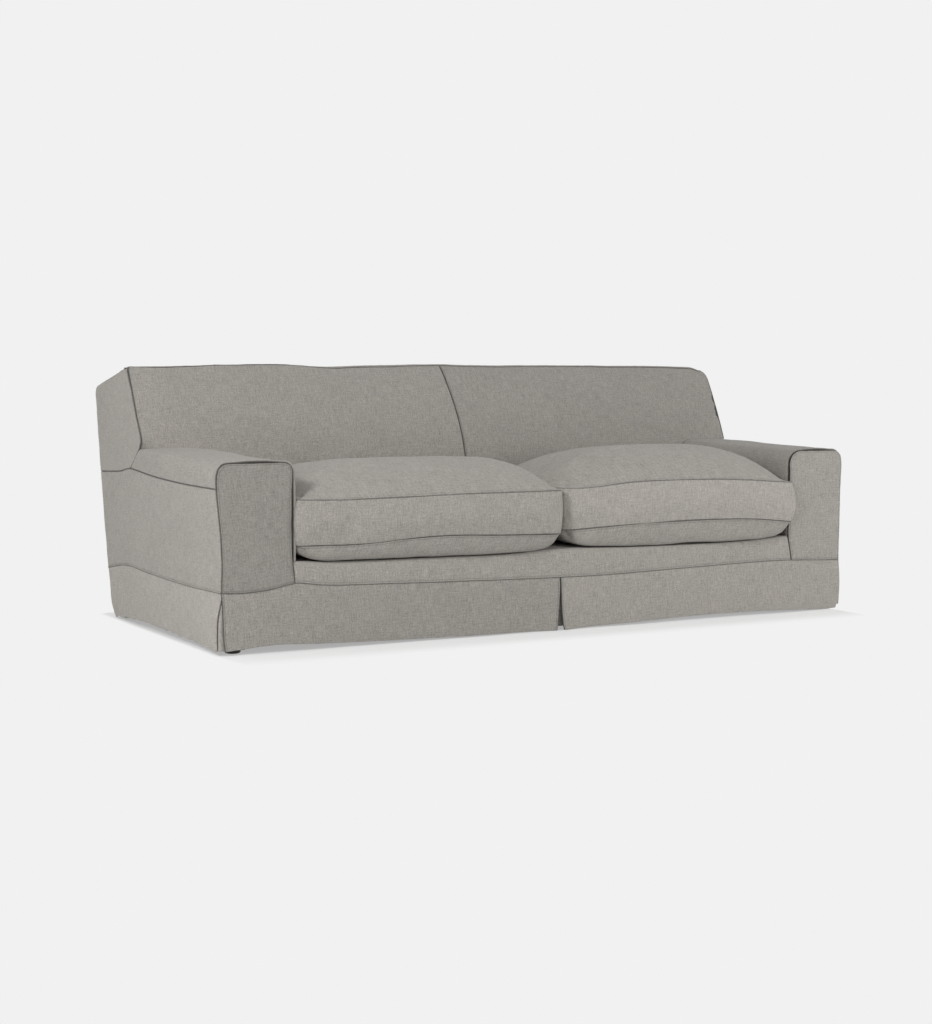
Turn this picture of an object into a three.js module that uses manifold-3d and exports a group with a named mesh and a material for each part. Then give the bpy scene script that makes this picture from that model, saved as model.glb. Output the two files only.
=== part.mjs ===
// A two-seat sofa in a loose linen slipcover, with a low leaning back, wide arms with
// rounded shoulders, two loose box cushions and a skirt with kick pleats.
// Millimetres, +Z up, the front towards -Y, the origin on the floor under the middle.
import * as THREE from 'three';
import { mergeVertices } from 'three/addons/utils/BufferGeometryUtils.js';
import Module from 'manifold-3d';

const wasm = await Module();
wasm.setup();

// Overall size
const overallWidth = 2300;
const overallDepth = 1145;
const backHeight = 846;
const backFootDepth = 548;
const deckHeight = 263;

// Fits
const clearance = 0.3;
const softEase = 0.4;
const mergeTolerance = 1e-4;
const overrun = 5;

// Arms
const armWidth = 232;
const armHeight = 556;
const armRise = 19;
const shoulderDrop = 72;
const shoulderWidth = 40;
const shoulderRun = 120;
const innerRoll = 18;

// Back
const backLean = 197.5;
const backBulge = 48;
const topFallDegrees = 11.2;
const rearRakeDegrees = 11.35;
const rearCornerDrop = 31.6;
const rearCornerLength = 60;
const sideSeamRearHeight = 485;
const leanCurveShare = 0.86;
const bulgeHeightPower = 0.8;
const bulgeWidthPower = 3;

// Cloth of the cover
const cloth = 3;
const skirtSeamHeight = 178;
const hemHeight = 12;
const skirtWave = 4;
const wavesPerPanel = 3;
const pleatReturn = 80;
const pleatOpening = 18;

// Padding
const armPadding = 18;
const backPadding = 80;
const topPadding = 20;

// Wooden frame
const railThickness = 32;
const sideThickness = 30;
const footHeight = 75;
const railHeight = 125;
const centreRailHeight = 100;
const armBoardThickness = 20;
const armFrontThickness = 20;
const armFrontSetback = 9;
const backRailThickness = 25;
const backTopRailHeight = 70;
const backLowerRailHeight = 80;
const topBoardThickness = 22;
const ribWindowMargin = 70;
const ribWindowRise = 90;
const blockLeg = 110;
const blockChamfer = 24;

// Feet
const footDiameter = 48;
const footEdgeRadius = 6;
const footInset = 50;

// Seat springs
const wireDiameter = 4.2;
const springWidth = 56;
const springArch = 22;
const springsPerSeat = 4;
const springBars = 12;
const tieWireDiameter = 3;
const tieWireDrop = 1.6;
const tieWireOverhang = 18;
const clipWall = 1.6;
const clipDepth = 14;

// Back webbing
const webbingThickness = 2.5;
const webbingWidth = 60;

// Seat cushions
const cushionGap = 1;
const cushionFrontInset = 3;
const cushionTopSeam = 446;
const cushionBottomSeam = 309;
const cushionCrown = 107;
const cushionCornerRadius = 28;
const cushionDrawIn = 9;
const borderBulge = 5;
const zipWidth = 24;
const zipMargin = 80;
const crownPower = 4;
const bellyPower = 9;
const drawInPower = 3;
const borderBulgePower = 8;

// Derived places
const halfWidth = overallWidth / 2;
const halfDepth = overallDepth / 2;
const frontY = -halfDepth;
const armInnerX = halfWidth - armWidth;
const frameX = halfWidth - cloth - clearance;
const frameFrontY = frontY + cloth + clearance;
const backFootY = halfDepth - backFootDepth;
const railTop = footHeight + railHeight;
const frameInset = Math.max(skirtWave, cloth) + clearance;
const railX = frameX - frameInset;
const railFrontY = frameFrontY + frameInset;
const padFrontOffset = cloth + clearance;
const padRearOffset = padFrontOffset + backPadding;
const webbingOffset = padRearOffset + clearance;
const backRailOffset = webbingOffset + webbingThickness + clearance;
const ribOffset = backRailOffset + backRailThickness + clearance;
const deckRearY = backFootY + backRailOffset - clearance;
const seatBackRailFrontY = deckRearY - railThickness;

// Materials
const linen = new THREE.MeshStandardMaterial({ color: '#9a968f', roughness: 0.95 });
const cushionLinen = new THREE.MeshStandardMaterial({ color: '#a09c95', roughness: 0.95 });
const foam = new THREE.MeshStandardMaterial({ color: '#e6dfc8', roughness: 0.9 });
const wood = new THREE.MeshStandardMaterial({ color: '#b98f5f', roughness: 0.7 });
const steel = new THREE.MeshStandardMaterial({ color: '#8a8d90', roughness: 0.4, metalness: 0.9 });
const blackLacquer = new THREE.MeshStandardMaterial({ color: '#141414', roughness: 0.45 });
const elastic = new THREE.MeshStandardMaterial({ color: '#4a4038', roughness: 0.85 });
const zipTape = new THREE.MeshStandardMaterial({ color: '#8b877f', roughness: 0.8 });

const sofa = new THREE.Group();

// Adds one closed piece, its faces turned outwards
function add(name, geometry, material) {
  const solid = positionsOnly(geometry);
  if (signedVolume(solid) < 0) turnInsideOut(solid);
  solid.computeVertexNormals();
  const mesh = new THREE.Mesh(solid, material);
  mesh.name = name;
  sofa.add(mesh);
  return mesh;
}

function positionsOnly(geometry) {
  const bare = geometry.clone();
  bare.deleteAttribute('normal');
  bare.deleteAttribute('uv');
  return mergeVertices(bare, mergeTolerance);
}

function signedVolume(geometry) {
  const at = geometry.attributes.position;
  const index = geometry.index.array;
  const a = new THREE.Vector3();
  const b = new THREE.Vector3();
  const c = new THREE.Vector3();
  let volume = 0;
  for (let k = 0; k < index.length; k += 3) {
    a.fromBufferAttribute(at, index[k]);
    b.fromBufferAttribute(at, index[k + 1]);
    c.fromBufferAttribute(at, index[k + 2]);
    volume += a.dot(b.cross(c)) / 6;
  }
  return volume;
}

function turnInsideOut(geometry) {
  const index = geometry.index.array;
  for (let k = 0; k < index.length; k += 3) {
    const held = index[k + 1];
    index[k + 1] = index[k + 2];
    index[k + 2] = held;
  }
}

function geometryFrom(points, triangles) {
  const used = new Map();
  const kept = [];
  const index = triangles.flat().map((id) => {
    if (!used.has(id)) {
      used.set(id, used.size);
      kept.push(points[id].x, points[id].y, points[id].z);
    }
    return used.get(id);
  });
  const geometry = new THREE.BufferGeometry();
  geometry.setAttribute('position', new THREE.Float32BufferAttribute(kept, 3));
  geometry.setIndex(index);
  return geometry;
}

// Joining and cutting
function toSolid(geometry) {
  const bare = positionsOnly(geometry);
  if (signedVolume(bare) < 0) turnInsideOut(bare);
  return new wasm.Manifold(new wasm.Mesh({
    numProp: 3,
    vertProperties: new Float32Array(bare.attributes.position.array),
    triVerts: new Uint32Array(bare.index.array),
  }));
}

function toGeometry(solid) {
  const mesh = solid.getMesh();
  const geometry = new THREE.BufferGeometry();
  geometry.setAttribute('position', new THREE.BufferAttribute(mesh.vertProperties, 3));
  geometry.setIndex(new THREE.BufferAttribute(mesh.triVerts, 1));
  return geometry;
}

// A wall between two faces that share one net of four-sided cells. Where a cell has no
// neighbour the two faces are joined by a rim.
function wall(outer, inner, cells) {
  const count = outer.length;
  const edges = new Set();
  const triangles = [];
  for (const cell of cells) {
    const [a, b, c, d] = cell;
    triangles.push([a, b, c], [a, c, d]);
    triangles.push([c + count, b + count, a + count], [d + count, c + count, a + count]);
    cell.forEach((from, k) => edges.add(`${from},${cell[(k + 1) % cell.length]}`));
  }
  for (const edge of edges) {
    const [from, to] = edge.split(',').map(Number);
    if (!edges.has(`${to},${from}`)) {
      triangles.push([to, from, from + count], [to, from + count, to + count]);
    }
  }
  return geometryFrom([...outer, ...inner], triangles);
}

// A wall over a grid of columns and rows, without the cells that keep() turns down
function gridWall(columns, rows, outerAt, innerAt, keep = () => true) {
  const outer = [];
  const inner = [];
  const cells = [];
  for (let j = 0; j < rows.length; j += 1) {
    for (let i = 0; i < columns.length; i += 1) {
      outer.push(outerAt(columns[i], rows[j], i, j));
      inner.push(innerAt(columns[i], rows[j], i, j));
    }
  }
  for (let j = 0; j + 1 < rows.length; j += 1) {
    for (let i = 0; i + 1 < columns.length; i += 1) {
      const a = j * columns.length + i;
      if (keep(i, j)) cells.push([a, a + 1, a + 1 + columns.length, a + columns.length]);
    }
  }
  return wall(outer, inner, cells);
}

// A loft through closed sections, capped at both ends
function loft(sections, flatten) {
  const size = sections[0].length;
  const points = sections.flat();
  const triangles = [];
  for (let s = 0; s + 1 < sections.length; s += 1) {
    for (let p = 0; p < size; p += 1) {
      const a = s * size + p;
      const b = s * size + ((p + 1) % size);
      triangles.push([a, b, b + size], [a, b + size, a + size]);
    }
  }
  const last = (sections.length - 1) * size;
  const outline = sections[0].map(flatten);
  const turn = Math.sign(THREE.ShapeUtils.area(outline));
  for (const cap of THREE.ShapeUtils.triangulateShape(outline, [])) {
    const sameTurn = Math.sign(THREE.ShapeUtils.area(cap.map((id) => outline[id]))) === turn;
    const [a, b, c] = sameTurn ? cap : [...cap].reverse();
    triangles.push([c, b, a]);
    triangles.push([a + last, b + last, c + last]);
  }
  return geometryFrom(points, triangles);
}

function withoutRepeats(points) {
  return points.filter(([u, v], k) => k === 0 || u !== points[k - 1][0] || v !== points[k - 1][1]);
}

function shapeOf(points, hole) {
  const shape = new THREE.Shape(points.map(([u, v]) => new THREE.Vector2(u, v)));
  if (hole) shape.holes.push(new THREE.Path(hole.map(([u, v]) => new THREE.Vector2(u, v))));
  return shape;
}

// A profile of (y, z) points, drawn out along X
function alongX(points, fromX, toX, hole) {
  const depth = toX - fromX;
  const geometry = new THREE.ExtrudeGeometry(shapeOf(points, hole), { depth, bevelEnabled: false });
  const axes = new THREE.Matrix4().makeBasis(
    new THREE.Vector3(0, 1, 0), new THREE.Vector3(0, 0, 1), new THREE.Vector3(1, 0, 0));
  return geometry.applyMatrix4(axes).translate(fromX, 0, 0);
}

// A profile of (x, z) points, drawn out along Y
function alongY(points, fromY, toY) {
  const depth = toY - fromY;
  const geometry = new THREE.ExtrudeGeometry(shapeOf(points), { depth, bevelEnabled: false });
  const axes = new THREE.Matrix4().makeBasis(
    new THREE.Vector3(1, 0, 0), new THREE.Vector3(0, 0, 1), new THREE.Vector3(0, -1, 0));
  return geometry.applyMatrix4(axes).translate(0, toY, 0);
}

function block(x, y, z) {
  const geometry = new THREE.BoxGeometry(x[1] - x[0], y[1] - y[0], z[1] - z[0]);
  return geometry.translate((x[0] + x[1]) / 2, (y[0] + y[1]) / 2, (z[0] + z[1]) / 2);
}

// Even steps from one value to another, both ends included
function steps(from, to, count) {
  return Array.from({ length: count + 1 }, (_, k) => from + ((to - from) * k) / count);
}

const sideName = (side) => (side < 0 ? 'left' : 'right');
const spanOn = (side, near, far) => (side < 0 ? [-far, -near] : [near, far]);
const quarter = (count) => steps(0, Math.PI / 2, count);

// The front of the back leans along one curve, and swells towards its middle
function backFaceY(z) {
  const rise = (z - deckHeight) / (backHeight - deckHeight);
  return backFootY + backLean * ((1 - leanCurveShare) * rise + leanCurveShare * rise * rise);
}

function backSwell(x, z) {
  const fall = Math.min(Math.max((backHeight - z) / (backHeight - deckHeight), 0), 1);
  const overWidth = 1 - Math.abs(x / halfWidth) ** bulgeWidthPower;
  return backBulge * Math.sin(Math.PI * fall ** bulgeHeightPower) * overWidth;
}

// The frame behind the padding is straight, on the chord of that curve
const frameLineY = (z) => backFootY + (backLean * (z - deckHeight)) / (backHeight - deckHeight);

const backFrontY = (x, z) => backFaceY(z) - backSwell(x, z);

// The top falls to the rear and rolls over the rear edge
const topSlope = Math.tan(THREE.MathUtils.degToRad(topFallDegrees));
const backTopFrontY = backFaceY(backHeight);
const topZ = (y) => backHeight - (y - backTopFrontY) * topSlope;
const topRollY = halfDepth - rearCornerLength;
const rearEdgeHeight = topZ(halfDepth) - rearCornerDrop;

// The rear leans in one plane down to the floor
const rearSlope = Math.tan(THREE.MathUtils.degToRad(rearRakeDegrees));
const rearY = (z) => halfDepth - (rearEdgeHeight - z) * rearSlope;

// Under the top come its cloth, a pad, a board and then the ribs
const ribFrontY = (z) => frameLineY(z) + ribOffset;
const boardDrop = cloth + topPadding + 2 * clearance;
const ribTopDrop = boardDrop + topBoardThickness + clearance;
const ribTopZ = heightWhere((z) => topZ(ribFrontY(z)) - ribTopDrop - z);
const backTopRailTop = ribTopZ - clearance;

// The height at which a falling function crosses zero, within the back
function heightWhere(falling) {
  let low = deckHeight;
  let high = backHeight;
  for (let k = 0; k < 40; k += 1) {
    const middle = (low + high) / 2;
    if (falling(middle) > 0) low = middle;
    else high = middle;
  }
  return high;
}

function topProfile() {
  const roll = new THREE.QuadraticBezierCurve(
    new THREE.Vector2(topRollY, topZ(topRollY)),
    new THREE.Vector2(halfDepth, topZ(halfDepth)),
    new THREE.Vector2(halfDepth, rearEdgeHeight));
  return [[backTopFrontY, backHeight], ...roll.getPoints(4).map((p) => [p.x, p.y])];
}

// The arm: a section of (distance from the inner face, height) at a place along it
const armSlope = armRise / (backFaceY(armHeight + armRise) - frontY);
const armTopZ = (y) => armHeight + (y - frontY) * armSlope;
const shoulderSeamZ = (y) => armTopZ(y) - shoulderDrop;
const junctionY = backFaceY(armHeight + armRise);
const shoulderEndY = junctionY + shoulderRun;

function armSection(y, inset) {
  const top = armTopZ(y) - inset;
  const seam = shoulderSeamZ(y);
  const shoulder = quarter(5).map((angle) => [
    armWidth - shoulderWidth + (shoulderWidth - inset) * Math.cos(angle),
    seam + (top - seam) * Math.sin(angle),
  ]);
  const roll = quarter(3).map((angle) => [
    Math.max(innerRoll, inset) - Math.max(innerRoll - inset, 0) * Math.sin(angle),
    top - Math.max(innerRoll - inset, 0) * (1 - Math.cos(angle)),
  ]);
  return [...shoulder, ...roll];
}

// Where a line along the arm ends: at the back on the top, further back round the shoulder
function armEndY(x, z) {
  const below = armTopZ(junctionY) - z;
  if (x > halfWidth - shoulderWidth) return junctionY + (below * shoulderRun) / shoulderDrop;
  return backFrontY(x, z) - clearance;
}

// A padded or cloth layer round the arm, between two distances inside its surface
function armLayer(side, outside, inside, bottom) {
  const stations = steps(0, 1, 5);
  const rows = [...armSection(frontY, 0).keys(), 'foot'];
  const pointAt = (inset) => (station, row) => {
    const at = (y) => (row === 'foot' ? [inset, bottom] : armSection(y, inset)[row]);
    const [endAcross, endZ] = at(junctionY);
    const endY = armEndY(armInnerX + endAcross, endZ);
    const y = frameFrontY + station * (endY - frameFrontY);
    const [across, z] = at(y);
    return new THREE.Vector3(side * (armInnerX + across), y, z);
  };
  return gridWall(stations, rows, pointAt(outside), pointAt(inside));
}

// The net of heights and widths that the cover and the pad of the back share
const backCutZ = armTopZ(junctionY) + clearance;
const backCrestZ = backHeight - cloth - clearance - (cloth + clearance) * topSlope;
const backRows = [
  ...steps(deckHeight + clearance, backCutZ, 4),
  ...steps(backCutZ, backCrestZ, 5).slice(1),
];
const backColumns = [...steps(clearance / 2, armInnerX - clearance, 4), frameX];

// Seat frame
function makeSeatFrame() {
  const rail = [footHeight, railTop];
  add('front_rail', block([-railX, railX], [railFrontY, railFrontY + railThickness], rail), wood);
  const innerX = railX - sideThickness - clearance;
  const seatBack = [seatBackRailFrontY, deckRearY];
  add('seat_back_rail', block([-innerX, innerX], seatBack, rail), wood);

  const outside = (z) => rearY(z) - cloth - clearance - frameInset;
  const inside = (z) => outside(z) - railThickness;
  add('rear_rail', alongX([
    [inside(footHeight), footHeight], [outside(footHeight), footHeight],
    [outside(railTop), railTop], [inside(railTop), railTop],
  ], -railX, railX), wood);

  const sideFrontY = railFrontY + railThickness + clearance;
  for (const side of [-1, 1]) {
    const [fromX, toX] = spanOn(side, railX - sideThickness, railX);
    add(`side_rail_${sideName(side)}`, alongX([
      [sideFrontY, footHeight], [inside(footHeight) - clearance, footHeight],
      [inside(railTop) - clearance, railTop], [sideFrontY, railTop],
    ], fromX, toX), wood);
  }
  const centreX = [-sideThickness / 2, sideThickness / 2];
  const centreY = [sideFrontY, seatBackRailFrontY - clearance];
  add('centre_rail', block(centreX, centreY, [footHeight, footHeight + centreRailHeight]), wood);
  return { inside, outside, sideFrontY };
}

// Glued corner blocks, which take the screws of the feet
function makeCornerBlocks({ inside, sideFrontY }) {
  const cornerX = railX - sideThickness - clearance;
  for (const [rowName, cornerY, turn] of [
    ['front', sideFrontY, 1], ['rear', inside(footHeight) - clearance, -1],
  ]) {
    for (const side of [-1, 1]) {
      const outline = [
        [0, 0], [blockLeg, 0], [blockLeg, blockChamfer], [blockChamfer, blockLeg], [0, blockLeg],
      ].map(([u, v]) => [side * (cornerX - u), cornerY + turn * v]);
      const geometry = new THREE.ExtrudeGeometry(shapeOf(outline), {
        depth: railHeight, bevelEnabled: false,
      });
      add(`corner_block_${rowName}_${sideName(side)}`, geometry.translate(0, 0, footHeight), wood);
    }
  }
}

// Round black feet with a softened lower edge
function makeFeet() {
  const radius = footDiameter / 2;
  const edge = quarter(3).map((angle) => new THREE.Vector2(
    radius - footEdgeRadius + footEdgeRadius * Math.sin(angle),
    footEdgeRadius - footEdgeRadius * Math.cos(angle)));
  const top = footHeight - clearance;
  const rim = [new THREE.Vector2(radius, top), new THREE.Vector2(0, top)];
  const profile = [new THREE.Vector2(0, 0), ...edge, ...rim];
  const footX = halfWidth - footInset;
  const frontFootY = frontY + footInset;
  const rearFootY = rearY(footHeight) - footInset;
  for (const [rowName, footY] of [['front', frontFootY], ['rear', rearFootY]]) {
    for (const side of [-1, 1]) {
      const foot = new THREE.LatheGeometry(profile, 16).rotateX(Math.PI / 2);
      add(`foot_${rowName}_${sideName(side)}`, foot.translate(side * footX, footY, 0), blackLacquer);
    }
  }
}

// Arm frames: a shaped front board, set back where the side cover draws in, and a top board
// that runs back to the rib
function makeArmFrames() {
  const inset = cloth + clearance + armPadding + clearance;
  for (const side of [-1, 1]) {
    const section = armSection(frontY, inset);
    const outer = frameX - armFrontSetback - armInnerX;
    const outline = [
      [inset, railTop + clearance],
      [outer, railTop + clearance],
      [outer, shoulderSeamZ(frontY)],
      ...section,
    ];
    const placed = outline.map(([across, z]) => [side * (armInnerX + across), z]);
    const frontBack = frameFrontY + armFrontThickness;
    add(`arm_front_board_${sideName(side)}`, alongY(placed, frameFrontY, frontBack), wood);

    const nearX = armInnerX + inset;
    const farX = halfWidth - shoulderWidth;
    const startY = frontBack + clearance;
    const endY = shoulderEndY + clearance;
    const underPad = (y) => armTopZ(y) - inset;
    const top = (across, y) => new THREE.Vector3(side * across, y, underPad(y));
    const bottom = (across, y) => new THREE.Vector3(side * across, y, underPad(y) - armBoardThickness);
    add(`arm_top_board_${sideName(side)}`, gridWall([nearX, farX], [startY, endY], top, bottom), wood);
  }
}

// Back frame: three shaped ribs with windows, two front rails and a board under the top
function ribProfile(foot) {
  const rearOf = (z) => rearY(z) - cloth - clearance;
  const armRearY = shoulderEndY + 2 * clearance;
  const armFootZ = shoulderSeamZ(shoulderEndY) - 2 * clearance;
  const front = steps(armFootZ, ribTopZ, 4).map((z) => [Math.max(ribFrontY(z), armRearY), z]);
  const rearTop = [topRollY, topZ(topRollY) - ribTopDrop];
  const outline = withoutRepeats([
    ...foot,
    [rearOf(railTop), railTop + clearance],
    [rearOf(rearTop[1]), rearTop[1]],
    rearTop,
    ...front.reverse(),
    [ribFrontY(armFootZ), armFootZ],
    [ribFrontY(deckHeight), deckHeight],
    [ribFrontY(deckHeight), railTop + clearance],
  ]);
  const low = railTop + ribWindowRise;
  const high = rearTop[1] - ribWindowRise;
  const windowFront = Math.max(ribFrontY((low + high) / 2), armRearY) + ribWindowMargin;
  const window = [
    [windowFront, low], [rearOf(low) - ribWindowMargin, low],
    [rearOf(high) - ribWindowMargin, high], [ribFrontY(high) + ribWindowMargin, high],
    [windowFront, (low + high) / 2],
  ];
  return { outline, window };
}

function makeBackFrame({ inside }) {
  for (const side of [-1, 1]) {
    const [fromX, toX] = spanOn(side, railX - sideThickness, railX);
    const { outline, window } = ribProfile([]);
    add(`back_rib_${sideName(side)}`, alongX(outline, fromX, toX, window), wood);
  }
  const foot = [
    [deckRearY + clearance, railTop + clearance],
    [deckRearY + clearance, footHeight],
    [inside(footHeight) - clearance, footHeight],
    [inside(railTop) - clearance, railTop + clearance],
  ];
  const { outline, window } = ribProfile(foot);
  add('back_rib_centre', alongX(outline, -sideThickness / 2, sideThickness / 2, window), wood);

  const railProfile = (low, high) => {
    const front = [low, high].map((z) => [frameLineY(z) + backRailOffset, z]);
    const rear = front.map(([y, z]) => [y + backRailThickness, z]);
    return [...front, ...rear.reverse()];
  };
  const lowerRailFoot = deckHeight + clearance;
  add('back_top_rail', alongX(
    railProfile(backTopRailTop - backTopRailHeight, backTopRailTop), -railX, railX), wood);
  add('back_lower_rail', alongX(
    railProfile(lowerRailFoot, lowerRailFoot + backLowerRailHeight), -railX, railX), wood);

  const boardFrontY = ribFrontY(ribTopZ);
  add('back_top_board', alongX([
    [boardFrontY, topZ(boardFrontY) - boardDrop - topBoardThickness],
    [topRollY, topZ(topRollY) - boardDrop - topBoardThickness],
    [topRollY, topZ(topRollY) - boardDrop],
    [boardFrontY, topZ(boardFrontY) - boardDrop],
  ], -railX, railX), wood);
}

// Seat springs: zigzag wires from rail to rail, tied across by two wires
const clipCavity = wireDiameter + 2 * clearance;
const springFootZ = railTop + clearance + clipWall + clipCavity / 2;
const frontClipY = railFrontY + railThickness - clipDepth;
const rearClipY = seatBackRailFrontY + clipDepth;
const firstBarY = frontClipY + clipWall + clipCavity / 2;
const lastBarY = rearClipY - clipWall - clipCavity / 2;
const barPitch = (lastBarY - firstBarY) / (springBars - 1);
const springRun = lastBarY - firstBarY - 2 * clipDepth;

// A spring arches up between the two clips
function springZ(y) {
  const share = Math.min(Math.max((y - firstBarY - clipDepth) / springRun, 0), 1);
  return springFootZ + springArch * Math.sin(Math.PI * share);
}

function springPath(centreX) {
  const bend = barPitch / 2;
  const reach = springWidth / 2 - bend;
  const path = [];
  for (let bar = 0; bar < springBars; bar += 1) {
    const way = bar % 2 === 0 ? 1 : -1;
    const y = firstBarY + bar * barPitch;
    path.push([centreX - way * reach, y], [centreX + way * reach, y]);
    if (bar + 1 < springBars) {
      for (const angle of steps(-Math.PI / 2, Math.PI / 2, 4).slice(1, -1)) {
        path.push([centreX + way * (reach + bend * Math.cos(angle)), y + bend + bend * Math.sin(angle)]);
      }
    }
  }
  return path.map(([x, y]) => new THREE.Vector3(x, y, springZ(y)));
}

// A round wire through a row of points, closed at both ends
function wire(points, diameter, sides) {
  const firstAlong = points[1].clone().sub(points[0]);
  const firstAcross = new THREE.Vector3(0, 0, 1).cross(firstAlong).normalize();
  const sections = points.map((point, k) => {
    const before = points[Math.max(k - 1, 0)];
    const after = points[Math.min(k + 1, points.length - 1)];
    const along = after.clone().sub(before).normalize();
    const across = new THREE.Vector3(0, 0, 1).cross(along).normalize();
    const up = along.clone().cross(across);
    return Array.from({ length: sides }, (_, s) => {
      const angle = (2 * Math.PI * (s + 0.5)) / sides;
      return point.clone()
        .addScaledVector(across, (diameter / 2) * Math.cos(angle))
        .addScaledVector(up, (diameter / 2) * Math.sin(angle));
    });
  });
  return loft(sections, (corner) => new THREE.Vector2(
    corner.clone().sub(points[0]).dot(firstAcross), corner.z));
}

function makeSprings() {
  const seatWidth = armInnerX;
  const spacing = seatWidth / springsPerSeat;
  for (const side of [-1, 1]) {
    const centres = Array.from({ length: springsPerSeat }, (_, k) => side * spacing * (k + 0.5));
    let unit = null;
    for (const centre of centres) {
      const spring = toSolid(wire(springPath(centre), wireDiameter, 5));
      unit = unit ? unit.add(spring) : spring;
    }
    for (const bar of [Math.round(springBars / 3), Math.round((2 * springBars) / 3)]) {
      const y = firstBarY + (bar - 0.5) * barPitch;
      const z = springZ(y) - tieWireDrop;
      const reach = springWidth / 2 + tieWireOverhang;
      const ends = [Math.min(...centres) - reach, Math.max(...centres) + reach];
      const tie = wire(ends.map((x) => new THREE.Vector3(x, y, z)), tieWireDiameter, 5);
      unit = unit.add(toSolid(tie));
    }
    add(`seat_spring_unit_${sideName(side)}`, toGeometry(unit), steel);
  }

  const clipTop = clipWall + clipCavity + clipWall;
  for (const [rowName, backY, way] of [['front', frontClipY, 1], ['rear', rearClipY, -1]]) {
    const profile = [
      [0, 0], [clipDepth, 0], [clipDepth, clipWall], [clipWall, clipWall],
      [clipWall, clipWall + clipCavity], [clipDepth, clipWall + clipCavity],
      [clipDepth, clipTop], [0, clipTop],
    ].map(([v, w]) => [backY + way * v, railTop + clearance + w]);
    add(`spring_clip_strip_${rowName}`, alongX(profile, -armInnerX, armInnerX), steel);
  }
}

// Back webbing: straps across and up, joined where they cross, stapled to the two rails
function makeBackWebbing() {
  const low = deckHeight + clearance;
  const bayFrom = sideThickness / 2 + webbingWidth / 2;
  const bayTo = armInnerX - webbingWidth / 2;
  const straps = 4;
  const pitchX = (bayTo - bayFrom - webbingWidth) / (straps - 1);
  const columns = Array.from({ length: straps }, (_, k) => bayFrom + k * pitchX)
    .flatMap((x) => [x, x + webbingWidth]);
  const bands = 2;
  const pitchZ = (backTopRailTop - low) / (bands + 1);
  const rows = [low];
  for (let k = 1; k <= bands; k += 1) {
    const centre = low + k * pitchZ;
    rows.push(centre - webbingWidth / 2, centre + webbingWidth / 2);
  }
  rows.push(backTopRailTop);
  for (const side of [-1, 1]) {
    const at = (offset) => (x, z) => new THREE.Vector3(side * x, frameLineY(z) + offset, z);
    const isStrap = (i, j) => i % 2 === 0 || j % 2 === 1;
    add(`back_webbing_${sideName(side)}`, gridWall(
      columns, rows, at(webbingOffset), at(webbingOffset + webbingThickness), isStrap), elastic);
  }
}

// Padding
function makePadding() {
  for (const side of [-1, 1]) {
    const outside = cloth + clearance;
    add(`arm_pad_${sideName(side)}`, armLayer(
      side, outside, outside + armPadding, deckHeight + clearance), foam);
  }

  const padTop = deckHeight - cloth - clearance;
  const springTop = springFootZ + springArch + wireDiameter / 2 + clearance;
  const seat = railTop + clearance;
  const deckX = armInnerX - clearance;
  add('deck_pad', alongX([
    [frameFrontY, seat], [frontClipY - clearance, seat], [frontClipY - clearance, springTop],
    [rearClipY + clearance, springTop], [rearClipY + clearance, seat],
    [deckRearY, seat], [deckRearY, padTop], [frameFrontY, padTop],
  ], -deckX, deckX), foam);

  const foot = backRows[0];
  const topInset = cloth + clearance;
  const section = (x) => {
    const front = backRows.map((z) => {
      const y = backFrontY(x, z) + padFrontOffset + softEase;
      return [y, Math.min(z, topZ(y) - topInset)];
    });
    const rearTop = [topRollY, topZ(topRollY) - topInset];
    const underTop = [topRollY, rearTop[1] - topPadding];
    const rear = [backTopRailTop, foot].map((z) => [frameLineY(z) + padRearOffset, z]);
    const underFront = [rear[0][0], topZ(rear[0][0]) - topInset - topPadding];
    return [...front, rearTop, underTop, underFront, ...rear].map(([y, z]) => new THREE.Vector3(x, y, z));
  };
  const stations = [...backColumns.map((x) => -x).reverse(), ...backColumns];
  const whole = toSolid(loft(stations.map(section), (p) => new THREE.Vector2(p.y, p.z)));
  const cutTop = armTopZ(junctionY) + cloth + clearance;
  const over = [foot - overrun, cutTop];
  const deep = [frontY, halfDepth];
  const arms = [-1, 1].map((side) => toSolid(
    block(spanOn(side, armInnerX, halfWidth + overrun), deep, over)));
  add('back_pad', toGeometry(whole.subtract(arms[0]).subtract(arms[1])), foam);
}

// Cover of the arms and the outer sides
function makeArmCovers() {
  for (const side of [-1, 1]) {
    const name = sideName(side);
    add(`cover_arm_top_${name}`, armLayer(side, 0, cloth, deckHeight + clearance), linen);

    const seam = skirtSeamHeight + clearance;
    const outline = [[0, seam], [armWidth, seam], ...armSection(frontY, 0)];
    const placed = outline.map(([across, z]) => [side * (armInnerX + across), z]);
    add(`cover_arm_front_${name}`, alongY(placed, frontY, frontY + cloth), linen);

    const [fromX, toX] = spanOn(side, halfWidth - cloth, halfWidth);
    add(`cover_side_${name}`, alongX([
      [frameFrontY, seam], [rearY(seam), seam],
      [rearY(sideSeamRearHeight), sideSeamRearHeight - clearance],
      [shoulderEndY, shoulderSeamZ(shoulderEndY) - clearance],
      [frameFrontY, shoulderSeamZ(frameFrontY) - clearance],
    ], fromX, toX), linen);
  }
}

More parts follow.
